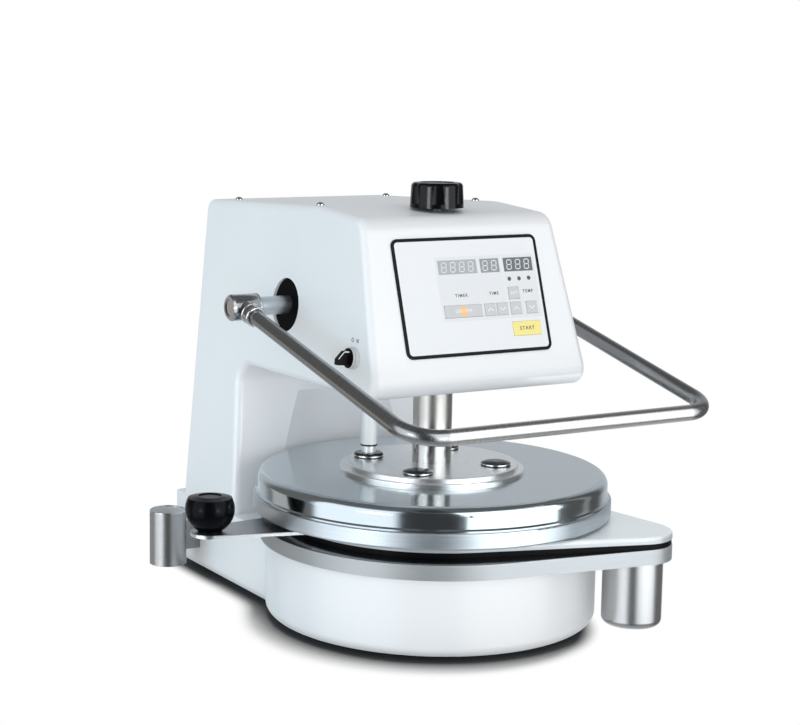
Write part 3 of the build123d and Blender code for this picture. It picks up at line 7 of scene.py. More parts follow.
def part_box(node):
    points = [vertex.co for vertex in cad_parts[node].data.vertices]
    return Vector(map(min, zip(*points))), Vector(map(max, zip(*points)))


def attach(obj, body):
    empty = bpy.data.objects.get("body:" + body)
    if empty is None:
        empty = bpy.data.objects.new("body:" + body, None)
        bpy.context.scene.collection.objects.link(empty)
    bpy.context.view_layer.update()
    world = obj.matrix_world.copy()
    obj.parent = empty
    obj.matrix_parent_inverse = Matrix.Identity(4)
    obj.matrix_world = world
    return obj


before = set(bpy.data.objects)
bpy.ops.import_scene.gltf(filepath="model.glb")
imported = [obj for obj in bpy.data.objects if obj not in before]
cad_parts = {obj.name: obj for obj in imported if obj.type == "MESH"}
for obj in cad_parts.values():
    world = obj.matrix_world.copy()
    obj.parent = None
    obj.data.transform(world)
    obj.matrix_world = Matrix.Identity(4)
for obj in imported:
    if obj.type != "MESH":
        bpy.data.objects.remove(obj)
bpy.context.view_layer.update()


# Base housing: an aluminium casting, round under the platens and square under the column.
# It is powder coated in a faintly bluish white, with a fine orange peel in the coat.
# The ram axis runs through the middle of the platen cover, and places on the press are given from it.
class Wire:
    """One output in a material's node tree. Arithmetic on it adds Math nodes."""

    def __init__(self, tree, socket):
        self.tree = tree
        self.socket = socket

    def node(self, kind, settings=None, sockets=None, out=0):
        """Adds a node: its settings first, then its sockets, as numbers or as other wires."""
        made = self.tree.nodes.new("ShaderNode" + kind)
        for name, value in (settings or {}).items():
            setattr(made, name, value)
        for name, value in (sockets or {}).items():
            if isinstance(value, Wire):
                self.tree.links.new(value.socket, made.inputs[name])
            else:
                made.inputs[name].default_value = value
        return Wire(self.tree, made.outputs[out])

    def math(self, operation, *values):
        """Result of a Math operation on these values."""
        return self.node("Math", {"operation": operation}, dict(enumerate(values)))

    def __add__(self, other):
        return self.math("ADD", self, other)

    def __radd__(self, other):
        return self.math("ADD", other, self)

    def __sub__(self, other):
        return self.math("SUBTRACT", self, other)

    def __rsub__(self, other):
        return self.math("SUBTRACT", other, self)

    def __mul__(self, other):
        return self.math("MULTIPLY", self, other)

    def __rmul__(self, other):
        return self.math("MULTIPLY", other, self)

    def __pow__(self, other):
        return self.math("POWER", self, other)

    def __rpow__(self, other):
        return self.math("POWER", other, self)

    def __abs__(self):
        return self.math("ABSOLUTE", self)

    def axes(self):
        """This place's x, y and z, each as a wire."""
        parts = self.node("SeparateXYZ", None, {0: self}).socket.node
        return [Wire(self.tree, part) for part in parts.outputs]

    def slant(self, other):
        """Length of the slant over two legs at a right angle."""
        return (self * self + other * other) ** 0.5

    def off_axis(self, x, y):
        """Distance of this place from the upright line at x and y."""
        east, north, _ = self.axes()
        return (east - x).slant(north - y)

    def fade(self, low, high):
        """0 below low, 1 above high and smooth between them."""
        ends = {"From Min": low, "From Max": high, "Value": self}
        return self.node("MapRange", {"interpolation_type": "SMOOTHSTEP"}, ends)

    def band(self, starts, full, falls, ends):
        """1 from full to falls, 0 before the start and past the end, and smooth between them."""
        return self.fade(starts, full) * (1 - self.fade(falls, ends))

    def tint(self, first, second):
        """Colour that goes from the first to the second as this wire goes from 0 to 1."""
        first_socket, second_socket, result = 6, 7, 2
        ends = {0: self}
        for place, shade in ((first_socket, first), (second_socket, second)):
            ends[place] = shade if isinstance(shade, Wire) else (*shade, 1.0)
        return self.node("Mix", {"data_type": "RGBA"}, ends, out=result)

    def noise(self, scale, detail=2.0, stretch=(1.0, 1.0, 1.0)):
        """Noise of a size per metre on this wire's coordinates, stretched along the axes."""
        mapped = self.node("Mapping", None, {"Vector": self, "Scale": stretch})
        return self.node("TexNoise", None, {"Vector": mapped, "Scale": scale, "Detail": detail})

    def streaks(self, scale, detail):
        """Noise of a size per metre along this wire alone."""
        ends = {"W": self, "Scale": scale, "Detail": detail}
        return self.node("TexNoise", {"noise_dimensions": "1D"}, ends)

    def into(self, shader, name):
        """Feeds this wire to a shader's input."""
        self.tree.links.new(self.socket, shader.inputs[name])

    def dent(self, shader, distance, strength):
        """Uses this wire as a height, in metres, that shades the surface."""
        bump = self.node("Bump", None, {"Height": self, "Distance": distance, "Strength": strength})
        bump.into(shader, "Normal")


def finish(name, color, roughness, metallic=0.0):
    """A new material, with its shader and its Object coordinates."""
    material = bpy.data.materials.new(name)
    material.use_nodes = True
    shader = material.node_tree.nodes["Principled BSDF"]
    shader.inputs["Base Color"].default_value = (*color, 1.0)
    shader.inputs["Roughness"].default_value = roughness
    shader.inputs["Metallic"].default_value = metallic
    coordinates = material.node_tree.nodes.new("ShaderNodeTexCoord")
    return material, shader, Wire(material.node_tree, coordinates.outputs["Object"])


def powder_coat(name, color, roughness, coat, coat_roughness):
    """A finish of baked paint: a thin gloss over it and a fine orange peel."""
    material, shader, place = finish(name, color, roughness)
    shader.inputs["Coat Weight"].default_value = coat
    shader.inputs["Coat Roughness"].default_value = coat_roughness
    place.noise(650.0).dent(shader, 0.00012, 0.25)
    return material, shader, place


def dress(material, *nodes):
    """Puts a material on CAD nodes."""
    for node in nodes:
        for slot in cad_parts[node].material_slots:
            slot.material = material


def middle_of(node):
    """Middle of a CAD node's box."""
    low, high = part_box(node)
    return (low + high) / 2


axis_x, axis_y, _ = middle_of("platen_cover")

enamel, shader, place = powder_coat("white_powder_coat", (0.86, 0.88, 0.91), 0.34, 0.25, 0.12)
cloud = place.noise(5.0, 3.0)
cloud.fade(0.3, 0.7).tint((0.845, 0.872, 0.902), (0.87, 0.89, 0.912)).into(shader, "Base Color")
(0.30 + 0.1 * cloud).into(shader, "Roughness")
dress(enamel, "base_housing", "head_housing")


# Rubber feet and the steel service cover under the base.
# The cover is zinc-plated sheet, held by six pan-head screws, three along each side.
def deselect():
    """Leaves edit mode and selects nothing."""
    if bpy.context.object and bpy.context.object.mode != "OBJECT":
        bpy.ops.object.mode_set(mode="OBJECT")
    bpy.ops.object.select_all(action="DESELECT")


def turned(name, rings, sides):
    """A turned piece on the Z axis: a disc is drawn up through rings of radius and height."""
    deselect()
    radius, height = rings[0]
    bpy.ops.mesh.primitive_circle_add(
        vertices=sides, radius=radius, fill_type="NGON", location=(0, 0, height)
    )
    piece = bpy.context.object
    piece.name = name
    bpy.ops.object.mode_set(mode="EDIT")
    bpy.ops.mesh.select_all(action="SELECT")
    for wider, higher in rings[1:]:
        bpy.ops.mesh.extrude_region_move(TRANSFORM_OT_translate={"value": (0, 0, higher - height)})
        bpy.ops.transform.resize(value=(wider / radius, wider / radius, 1))
        radius, height = wider, higher
    bpy.ops.mesh.select_all(action="SELECT")
    bpy.ops.mesh.normals_make_consistent(inside=False)
    bpy.ops.object.mode_set(mode="OBJECT")
    bpy.ops.object.transform_apply(location=True, rotation=True, scale=True)
    bpy.ops.object.shade_smooth_by_angle(angle=radians(35))
    return piece


def copied(piece, name, move):
    """A copy of a piece, with its own mesh moved by a matrix."""
    twin = piece.copy()
    twin.data = piece.data.copy()
    twin.name = name
    twin.data.transform(move)
    bpy.context.scene.collection.objects.link(twin)
    return twin


def fit(piece, material, body):
    """Dresses a new piece and rides it on its body."""
    piece.data.materials.clear()
    piece.data.materials.append(material)
    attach(piece, body)


rubber, shader, place = finish("foot_rubber", (0.03, 0.03, 0.032), 0.75)
grit = place.noise(1400.0, 3.0)
grit.tint((0.022, 0.022, 0.024), (0.045, 0.045, 0.047)).into(shader, "Base Color")
grit.dent(shader, 0.0002, 0.4)
dress(rubber, "feet")

zinc, shader, place = finish("zinc_plated_steel", (0.6, 0.63, 0.66), 0.34, 1.0)
bloom = place.noise(60.0, 4.0)
bloom.tint((0.52, 0.56, 0.60), (0.68, 0.70, 0.72)).into(shader, "Base Color")
(0.24 + 0.22 * bloom).into(shader, "Roughness")
place.noise(900.0, 2.0, (1.0, 6.0, 6.0)).dent(shader, 0.00005, 0.2)
dress(zinc, "base_cover")

pan_head = [
    (0.0008, -0.0028),
    (0.0028, -0.0028),
    (0.0040, -0.0020),
    (0.0043, -0.0010),
    (0.0043, 0.0),
]
screw = turned("screw", pan_head, 20)
hatch_low, hatch_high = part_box("base_cover")
inset = 0.006
step = (hatch_high.y - hatch_low.y - 2 * inset) / 2
for number in range(6):
    across = hatch_low.x + inset if number % 2 else hatch_high.x - inset
    along = hatch_low.y + inset + (number // 2) * step
    seat = Matrix.Translation((across, along, hatch_low.z))
    fit(copied(screw, f"hatch_screw_{number + 1}", seat), zinc, "root")
bpy.data.objects.remove(screw)


# Cable gland: a black nylon body screwed into the base's rear wall, with a knurled clamping nut.
# It is left open for the supply cord.
nylon, shader, place = finish("black_nylon", (0.028, 0.028, 0.03), 0.5)
place.noise(500.0).dent(shader, 0.0001, 0.3)
(0.44 + 0.16 * place.noise(40.0)).into(shader, "Roughness")
dress(nylon, "cable_gland")


# Lid of the head: bent sheet, powder coated like the head and let into its top.
# Four stainless dome-head screws hold it, two behind the crest and two near the back.
lid_coat, shader, place = powder_coat("lid_powder_coat", (0.85, 0.872, 0.90), 0.42, 0.15, 0.2)
(0.38 + 0.1 * place.noise(7.0, 3.0)).into(shader, "Roughness")
dress(lid_coat, "top_cover")

bright, shader, place = finish("bright_stainless", (0.74, 0.74, 0.75), 0.14, 1.0)
(0.10 + 0.12 * place.noise(300.0, 3.0)).into(shader, "Roughness")

dome = [
    (0.0052, 0.0),
    (0.0052, 0.0006),
    (0.0049, 0.0021),
    (0.0041, 0.0034),
    (0.0028, 0.0043),
    (0.0012, 0.0047),
]
screw = turned("screw", dome, 28)
lid_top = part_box("top_cover")[1].z
lid_fall = 0.0306
crest_back = 0.058
sunk = 0.0003
screw_out = 0.119
spots = [(side * screw_out, back) for side in (-1, 1) for back in (0.087, 0.312)]
for number, (across, back) in enumerate(spots):
    on_lid = lid_top - lid_fall * (back - crest_back) - sunk
    seat = Matrix.Translation((axis_x + across, axis_y + back, on_lid))
    fit(copied(screw, f"lid_screw_{number + 1}", seat), bright, "root")
bpy.data.objects.remove(screw)


# Control panel: a printed film on a thin plate, stuck on the head's leaning face.
# A black line runs round its edge, and pale grey columns stand behind the three displays.
lean = radians(17.7)
face_up = Vector((0, sin(lean), cos(lean)))
face_out = Vector((0, -cos(lean), sin(lean)))
panel_w, panel_h, panel_t = 0.214, 0.148, 0.0015
panel_mid = middle_of("control_panel") - face_out * panel_t / 2
panel_mid.x = axis_x


def on_face(place):
    """Wires of the distance to the right and up the leaning face, from the panel's middle."""
    east, north, height = place.axes()
    up = (north - panel_mid.y) * face_up.y + (height - panel_mid.z) * face_up.z
    return east - panel_mid.x, up


def inside(across, up, x, y, width, height):
    """1 inside a box on the face and 0 outside it, with a soft edge."""
    soft = 0.0003
    level = abs(across - x).fade(width / 2 + soft, width / 2 - soft)
    return level * abs(up - y).fade(height / 2 + soft, height / 2 - soft)


film, shader, place = finish("printed_film", (0.86, 0.885, 0.915), 0.36)
across, up = on_face(place)
corner = 0.009
line_in, line_soft = 0.0044, 0.0004
past_x = place.math("MAXIMUM", abs(across) - (panel_w / 2 - corner), 0.0)
past_y = place.math("MAXIMUM", abs(up) - (panel_h / 2 - corner), 0.0)
line = past_x.slant(past_y).fade(corner - line_in, corner - line_in + line_soft)
column_up, column_h = 0.0088, 0.0807
columns = 0.0
for x, width in ((-0.0168, 0.0632), (0.0321, 0.0341), (0.0749, 0.0494)):
    columns = columns + inside(across, up, x, column_up, width, column_h)
shade = columns.tint((0.86, 0.888, 0.92), (0.80, 0.828, 0.857))
line.tint(shade, (0.002, 0.0025, 0.004)).into(shader, "Base Color")
shader.inputs["Specular IOR Level"].default_value = 0.12
(0.3 + 0.12 * place.noise(30.0)).into(shader, "Roughness")
place.noise(1500.0).dent(shader, 0.00004, 0.2)
dress(film, "control_panel")


# Digit displays: three smoked windows, darker from left to right, with pale unlit segments.
# Each digit is a figure of seven bevelled bars, modelled once and copied along its window.
window, shader, place = finish("smoked_window", (0.5, 0.53, 0.56), 0.22)
across, _ = on_face(place)
first_gap, second_gap, soft = 0.014, 0.049, 0.002
shade = across.fade(first_gap - soft, first_gap + soft).tint((0.40, 0.42, 0.45), (0.27, 0.29, 0.315))
shade = across.fade(second_gap - soft, second_gap + soft).tint(shade, (0.105, 0.12, 0.14))
shade.into(shader, "Base Color")
(0.16 + 0.1 * place.noise(200.0)).into(shader, "Roughness")
dress(window, "displays")

segment, shader, place = finish("pale_segment", (0.72, 0.75, 0.77), 0.4)
(0.32 + 0.14 * place.noise(800.0)).into(shader, "Roughness")


def bar(name, length, width, thick):
    """A bar with pointed ends, lying along X at the origin."""
    deselect()
    bpy.ops.mesh.primitive_plane_add(size=1, location=(0, 0, 0))
    piece = bpy.context.object
    piece.name = name
    bpy.ops.object.mode_set(mode="EDIT")
    bpy.ops.mesh.select_all(action="SELECT")
    bpy.ops.transform.resize(value=(length, width, 1))
    bpy.ops.mesh.bevel(offset=width * 0.45, segments=1, affect="VERTICES")
    bpy.ops.mesh.extrude_region_move(TRANSFORM_OT_translate={"value": (0, 0, thick)})
    bpy.ops.mesh.select_all(action="SELECT")
    bpy.ops.mesh.normals_make_consistent(inside=False)
    bpy.ops.object.mode_set(mode="OBJECT")
    bpy.ops.object.transform_apply(location=True, rotation=True, scale=True)
    return piece


def joined(name, pieces):
    """Several pieces joined into one mesh."""
    deselect()
    for piece in pieces:
        piece.select_set(True)
    bpy.context.view_layer.objects.active = pieces[0]
    bpy.ops.object.join()
    pieces[0].name = name
    return pieces[0]


def laid(piece, along, upright, out, where):
    """Moves a flat piece from the origin to a place, with its axes in three directions."""
    turn = Matrix((along, upright, out)).transposed().to_4x4()
    piece.data.transform(Matrix.Translation(where) @ turn)


to_right = Vector((1, 0, 0))


def on_panel(piece, x, y, depth):
    """Lays a flat piece on the leaning face, depth out of it."""
    laid(piece, to_right, face_up, face_out, panel_mid + to_right * x + face_up * y + face_out * depth)


def spot(node):
    """Distance of a CAD node's middle to the right and up the face, from the panel's middle."""
    reach = middle_of(node) - panel_mid
    return reach.x, reach.dot(face_up)


figure_w, figure_h, bar_w = 0.0068, 0.0118, 0.0013
print_t = 0.00012
bar_gap = 0.55 * bar_w
italic = 0.1
bars = []
for x, y, upright in (
    (0, figure_h / 2, False),
    (0, 0, False),
    (0, -figure_h / 2, False),
    (-figure_w / 2, figure_h / 4, True),
    (figure_w / 2, figure_h / 4, True),
    (-figure_w / 2, -figure_h / 4, True),
    (figure_w / 2, -figure_h / 4, True),
):
    made = bar("bar", (figure_h / 2 if upright else figure_w) - bar_gap, bar_w, print_t)
    turn = Matrix.Rotation(pi / 2 if upright else 0, 4, "Z")
    made.data.transform(Matrix.Translation((x, y, 0)) @ turn)
    bars.append(made)
figure = joined("figure", bars)
figure.data.transform(Matrix(((1, italic, 0, 0), (0, 1, 0, 0), (0, 0, 1, 0), (0, 0, 0, 1))))

digit_step = 0.0132
window_in = 0.0003
row_up = spot("displays")[1]
for name, middle, count in (
    ("clock_digits", -0.0163, 4),
    ("time_digits", 0.0316, 2),
    ("heat_digits", 0.0744, 3),
):
    row = []
    for number in range(count):
        shift = (number - (count - 1) / 2) * digit_step
        row.append(copied(figure, name, Matrix.Translation((shift, 0, 0))))
    digits = joined(name, row)
    on_panel(digits, middle, row_up, panel_t - window_in)
    fit(digits, segment, "root")
bpy.data.objects.remove(figure)


# Lamps: three small dark lenses, unlit, under the right display.
# They are moulded in tinted polycarbonate.
lens, shader, place = finish("unlit_lens", (0.05, 0.055, 0.06), 0.18)
place.noise(400.0).tint((0.04, 0.045, 0.05), (0.075, 0.08, 0.085)).into(shader, "Base Color")
dress(lens, "indicator_leds")


# Keys: embossed film caps, grey but for the yellow start key, each with a printed sign.
# The power key has an amber glow painted into its colour round its middle, and three words stand on the
# panel by the keys.
def key_film(name, color):
    """A finish of printed film with a fine grain."""
    material, shader, place = finish(name, color, 0.4)
    place.noise(1600.0).dent(shader, 0.00004, 0.25)
    return material, shader, place


key_grey, shader, place = key_film("grey_key_film", (0.58, 0.60, 0.62))
place.noise(20.0).tint((0.54, 0.56, 0.58), (0.60, 0.62, 0.64)).into(shader, "Base Color")
dress(key_grey, "key_set", "key_up_left", "key_down_left", "key_up_right", "key_down_right")

key_amber, shader, place = key_film("amber_lit_key", (0.58, 0.60, 0.62))
across, up = on_face(place)
lit_x, lit_y = spot("key_power")
glow_edge, glow_core = 0.0085, 0.0045
# Painted glow: a bright amber patch in the key's colour, with no lamp behind it.
painted_glow = (across - lit_x).slant(up - lit_y).fade(glow_edge, glow_core)
painted_glow.tint((0.57, 0.59, 0.61), (0.93, 0.52, 0.22)).into(shader, "Base Color")
dress(key_amber, "key_power")

key_yellow, shader, place = key_film("yellow_key_film", (0.90, 0.80, 0.33))
place.noise(20.0).tint((0.88, 0.765, 0.22), (0.92, 0.815, 0.28)).into(shader, "Base Color")
dress(key_yellow, "key_start")

sign_white, shader, place = finish("white_print", (0.85, 0.87, 0.89), 0.45)
(0.4 + 0.1 * place.noise(700.0)).into(shader, "Roughness")
sign_dark, shader, place = finish("dark_print", (0.06, 0.065, 0.07), 0.5)
place.noise(700.0).tint((0.05, 0.055, 0.06), (0.09, 0.095, 0.1)).into(shader, "Base Color")

arm_l, arm_w, arm_out = 0.0062, 0.0014, 0.0019
arm_turn = radians(42)
arms = []
for side in (-1, 1):
    arm = bar("arm", arm_l, arm_w, print_t)
    turn = Matrix.Rotation(-side * arm_turn, 4, "Z")
    arm.data.transform(Matrix.Translation((side * arm_out, 0, 0)) @ turn)
    arms.append(arm)
chevron = joined("chevron", arms)
key_rise = 0.0005
key_face = panel_t + key_rise
for node, turn in (
    ("key_up_left", 0),
    ("key_down_left", pi),
    ("key_up_right", 0),
    ("key_down_right", pi),
):
    arrow = copied(chevron, node + "_arrow", Matrix.Rotation(turn, 4, "Z"))
    on_panel(arrow, *spot(node), key_face)
    fit(arrow, sign_white, node + "_body")
bpy.data.objects.remove(chevron)


def word(name, text, size, spacing=1.3, thick=0.0001):
    """A printed word as a thin flat mesh, centred at the origin."""
    deselect()
    bpy.ops.object.text_add(location=(0, 0, 0))
    made = bpy.context.object
    made.data.body = text
    made.data.size = size
    made.data.space_character = spacing
    made.data.offset = size * 0.02
    made.data.align_x = "CENTER"
    made.data.align_y = "CENTER"
    made.data.extrude = thick / 2
    made.data.resolution_u = 4
    bpy.ops.object.convert(target="MESH")
    made = bpy.context.object
    made.name = name
    made.data.transform(Matrix.Translation((0, 0, thick / 2)))
    return made


word_size = 0.0055
for name, text, x, y in (
    ("timer_word", "TIMER", -0.0168, 0.0003),
    ("time_word", "TIME", 0.0316, 0.0009),
    ("heat_word", "TEMP", 0.0831, 0.0015),
):
    label = word(name, text, word_size)
    on_panel(label, x, y, panel_t)
    fit(label, sign_dark, "root")
for node, text, size, ink in (
    ("key_power", "ON/OFF", 0.0057, sign_white),
    ("key_set", "SET", 0.0053, sign_white),
    ("key_start", "START", 0.0062, sign_dark),
):
    label = word(node + "_word", text, size)
    on_panel(label, *spot(node), key_face)
    fit(label, ink, node + "_body")


# Power switch on the left side: a grey moulded base and a black pointer knob, at right angles to
# the drafted wall. The side of the knob's disc is grey too, as a collar.
# A printed word stands above it, and a white line along both sides of the knob's grip is a painted
# highlight on its top edges.
switch_grey, shader, place = finish("grey_moulding", (0.56, 0.58, 0.6), 0.42)
place.noise(900.0).dent(shader, 0.00006, 0.3)
(0.38 + 0.12 * place.noise(60.0)).into(shader, "Roughness")
dress(switch_grey, "switch_base")

draft = 0.08704
wall_out = Vector((-cos(draft), 0, sin(draft)))
wall_up = Vector((sin(draft), 0, cos(draft)))
switch_mid = middle_of("switch_base")
head_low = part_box("head_housing")[0]
wall_foot = Vector((head_low.x, switch_mid.y, head_low.z))
switch_at = wall_foot + wall_up * (switch_mid - wall_foot).dot(wall_up)

collar_top, soft = 0.0083, 0.0002
knob_black, shader, place = finish("black_moulding", (0.004, 0.004, 0.005), 0.3)
east, _, height = place.axes()
off_wall = (east - switch_at.x) * wall_out.x + (height - switch_at.z) * wall_out.z
collar = off_wall.fade(collar_top + soft, collar_top - soft)
collar.tint((0.004, 0.004, 0.005), (0.56, 0.58, 0.6)).into(shader, "Base Color")
place.noise(1100.0).dent(shader, 0.00005, 0.3)
(0.26 + 0.14 * place.noise(80.0)).into(shader, "Roughness")
shader.inputs["Specular IOR Level"].default_value = 0.12
dress(knob_black, "switch_knob")

# The white strokes on the grip's sides are a painted highlight along its top edges.
grip_half = 0.0035
level = Vector((1, 0))
sloping = Vector((0.648, -0.762))
highlight_strokes = []
for side in (-1, 1):
    sideways = Vector((0, side, 0))
    for way, out, rise, length, width in (
        (level, 0.01275, 0.0075, 0.0068, 0.0015),
        (sloping, 0.01994, 0.00298, 0.0115, 0.0010),
    ):
        along = side * (wall_out * way.x + wall_up * way.y)
        upright = wall_up * way.x - wall_out * way.y
        where = switch_at + wall_out * out + wall_up * rise + sideways * grip_half
        stroke = bar("stroke", length, width, print_t)
        laid(stroke, along, upright, sideways, where)
        highlight_strokes.append(stroke)
fit(joined("switch_grip_highlight", highlight_strokes), sign_white, "power_switch")

mark_back, mark_up = 0.001, 0.021
to_front = Vector((0, -1, 0))
mark = word("on_mark", "ON", 0.0070, 2.7)
laid(mark, to_front, wall_up, wall_out, switch_at - to_front * mark_back + wall_up * mark_up)
fit(mark, sign_dark, "root")


# Near-black, dull discs behind the round ports that the cross shaft comes out of, which make the ports
# dark inside.
# Their faces have a fine grain.
disc_black, shader, place = finish("black_disc", (0.002, 0.002, 0.003), 0.5)
place.noise(1000.0).dent(shader, 0.0001, 0.35)
(0.42 + 0.16 * place.noise(50.0)).into(shader, "Roughness")
shader.inputs["Specular IOR Level"].default_value = 0.05
dress(disc_black, "shaft_discs")


# Handle: a bent stainless tube, belt-ground round its girth, its arms painted darker than its bar as
# painted shade.
# Two chromed cast tees hold it on the zinc-plated cross shaft. Each has a bead and a band round
# the tube's socket, and a lip at its inner end, in bright steel that is also a painted highlight on the
# dark chrome.
tube_steel, shader, place = finish("belt_ground_tube", (0.51, 0.505, 0.495), 0.22, 1.0)
east, north, _ = place.axes()
bar_ends, arm_starts = 0.170, 0.176
on_bar = abs(east - axis_x).fade(arm_starts, bar_ends)
grind = (on_bar * east + (1 - on_bar) * north).streaks(2600.0, 4.0)
# The arms' darker tone is painted shade for the darker reflection they show.
painted_dark_arms = grind.tint((0.29, 0.296, 0.301), (0.39, 0.396, 0.401))
bar_tone = grind.tint((0.46, 0.455, 0.447), (0.59, 0.585, 0.577))
on_bar.tint(painted_dark_arms, bar_tone).into(shader, "Base Color")
(0.16 + 0.2 * grind).into(shader, "Roughness")
grind.dent(shader, 0.00004, 0.3)
dress(tube_steel, "handle_tube")
dress(zinc, "cross_shaft")

chrome, shader, place = finish("chromed_casting", (0.44, 0.445, 0.455), 0.12, 1.0)
(0.08 + 0.12 * place.noise(150.0, 3.0)).into(shader, "Roughness")
place.noise(220.0).dent(shader, 0.0001, 0.2)
dress(chrome, "handle_tees")


def ring(name, middle, way, radius, thick):
    """A rounded bead about a line: a torus drawn out a little along it."""
    drawn = 1.3
    deselect()
    bpy.ops.mesh.primitive_torus_add(
        major_radius=radius, minor_radius=thick, major_segments=48, minor_segments=14
    )
    made = bpy.context.object
    made.name = name
    bpy.ops.object.mode_set(mode="EDIT")
    bpy.ops.mesh.select_all(action="SELECT")
    bpy.ops.transform.resize(value=(1, 1, drawn))
    bpy.ops.object.mode_set(mode="OBJECT")
    made.data.transform(Matrix.Translation(middle) @ way.to_track_quat("Z", "X").to_matrix().to_4x4())
    bpy.ops.object.shade_smooth_by_angle(angle=radians(60))
    return made


arm_fall = Vector((0, -0.406, -0.1)).normalized()
tee_out = 0.213
left_tee = middle_of("cross_shaft")
left_tee.x = axis_x - tee_out
# The bright rings are beads on the tees and also a painted highlight on their dark chrome.
highlight_rings = (
    ("tee_bead", arm_fall, 0.0352, 0.0116, 0.0018),
    ("tee_band", arm_fall, 0.0235, 0.0126, 0.0014),
    ("tee_lip", to_right, 0.0187, 0.0163, 0.0012),
)
lefts = [
    ring(name + "_left", left_tee + way * reach, way, radius, thick)
    for name, way, reach, radius, thick in highlight_rings
]
rights = [
    copied(left, name + "_right", Matrix.Translation((2 * (tee_out - way.x * reach), 0, 0)))
    for left, (name, way, reach, _, _) in zip(lefts, highlight_rings)
]
for bead in lefts + rights:
    fit(bead, bright, "handle")


# Ram, hub and bolts: a hard-chromed bar, darker, warmer and rougher on its upper part, a
# turned aluminium hub with fine rings about the ram axis, and dark mirror domes on the bolts.
# Each dome has a painted highlight, a bright band low on its side.
hard_chrome, shader, place = finish("hard_chrome", (0.56, 0.56, 0.55), 0.2, 1.0)
darker_from, darker_to = 0.235, 0.265
# Above this height the ram's colour turns darker and warmer.
darker_above = place.axes()[2].fade(darker_from, darker_to)
darker_above.tint((0.56, 0.56, 0.55), (0.47, 0.455, 0.435)).into(shader, "Base Color")
(0.17 + 0.15 * darker_above + 0.1 * place.noise(400.0, 2.0, (1.0, 1.0, 0.05))).into(shader, "Roughness")
dress(hard_chrome, "ram")


def turning_rings(place, scale):
    """Fine rings about the ram axis, from 0 to 1."""
    return (place.off_axis(axis_x, axis_y) + place.axes()[2]).streaks(scale, 3.0)


hub_metal, shader, place = finish("turned_aluminium", (0.86, 0.875, 0.885), 0.28, 1.0)
rings = turning_rings(place, 1800.0)
rings.tint((0.81, 0.83, 0.845), (0.90, 0.91, 0.92)).into(shader, "Base Color")
(0.2 + 0.18 * rings).into(shader, "Roughness")
rings.dent(shader, 0.00003, 0.25)
dress(hub_metal, "platen_hub")

bolt_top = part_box("hub_bolts")[1].z
dome_h = 0.006


def dome_with_highlight(height):
    """Colour of a dark mirror with a painted highlight band low on its side, from the height on a dome.
    """
    painted_highlight = (height - (bolt_top - dome_h)).band(0.0012, 0.0018, 0.0026, 0.0032)
    return painted_highlight.tint((0.05, 0.052, 0.055), (0.85, 0.86, 0.87))


dark_chrome, shader, place = finish("dark_mirror", (0.055, 0.057, 0.06), 0.2, 1.0)
dome_with_highlight(place.axes()[2]).into(shader, "Base Color")
(0.16 + 0.1 * place.noise(500.0)).into(shader, "Roughness")
dress(dark_chrome, "hub_bolts")


# Wire tube: white gloss tube that takes the heater's wires up into the head.
# A short bright neck and a dark clip ring hold it on its foot, which is domed like the bolts and
# carries the same painted highlight band.
tube_white, shader, place = finish("white_gloss_tube", (0.68, 0.70, 0.72), 0.22)
(0.18 + 0.1 * place.noise(50.0)).into(shader, "Roughness")
dress(tube_white, "wire_tube")

neck_steel, shader, place = finish("foot_and_neck", (0.11, 0.113, 0.118), 0.25, 1.0)
height = place.axes()[2]
neck = height.fade(bolt_top - 0.0002, bolt_top + 0.0006)
neck.tint(dome_with_highlight(height), (0.80, 0.82, 0.84)).into(shader, "Base Color")
(0.2 + 0.2 * neck + 0.06 * place.noise(300.0)).into(shader, "Roughness")
(1 - 0.55 * neck).into(shader, "Metallic")
dress(neck_steel, "tube_foot")

to_top = Vector((0, 0, 1))
clip_r, clip_t, clip_up = 0.0103, 0.0009, 0.0008
clip_at = middle_of("wire_tube")
clip_at.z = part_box("wire_tube")[0].z + clip_up
fit(ring("tube_clip", clip_at, to_top, clip_r, clip_t), dark_chrome, "platen")


# Platen cover: spun stainless sheet, mirror polished, with a rolled shoulder and a bead.
# The polish leaves the faintest rings about the ram axis.
# The bluish tone of its colour is a painted reflection of the pale bluish room.
mirror, shader, place = finish("mirror_polish", (0.52, 0.575, 0.615), 0.06, 1.0)
rings = turning_rings(place, 900.0)
(0.085 + 0.05 * rings + 0.03 * place.noise(18.0)).into(shader, "Roughness")
rings.dent(shader, 0.00001, 0.12)
dress(mirror, "platen_cover")


# Heated platen: a cast aluminium disc, turned on its rim and coated underneath.
# The rim keeps the tool's fine horizontal lines.
rim_metal, shader, place = finish("turned_rim", (0.60, 0.655, 0.70), 0.28, 1.0)
lines = place.noise(14.0, 3.0, (1.0, 1.0, 90.0))
lines.tint((0.47, 0.535, 0.585), (0.71, 0.755, 0.79)).into(shader, "Base Color")
(0.3 + 0.16 * lines).into(shader, "Roughness")
lines.dent(shader, 0.00005, 0.25)
dress(rim_metal, "heated_platen")


# Lower plate and swing tray: aluminium plates with milled edges. The lower plate is polished on top,
# the tray is blasted pale there and its upper edge is rounded over. The tray's sides and rounded edge
# are painted darker than its top, as painted shade.
# A black slide pad is glued under the tray.
def top_face(place, node, starts, full):
    """1 on top of a CAD node and 0 on its sides, between two depths below its top."""
    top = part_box(node)[1].z
    return place.axes()[2].fade(top - starts, top - full)


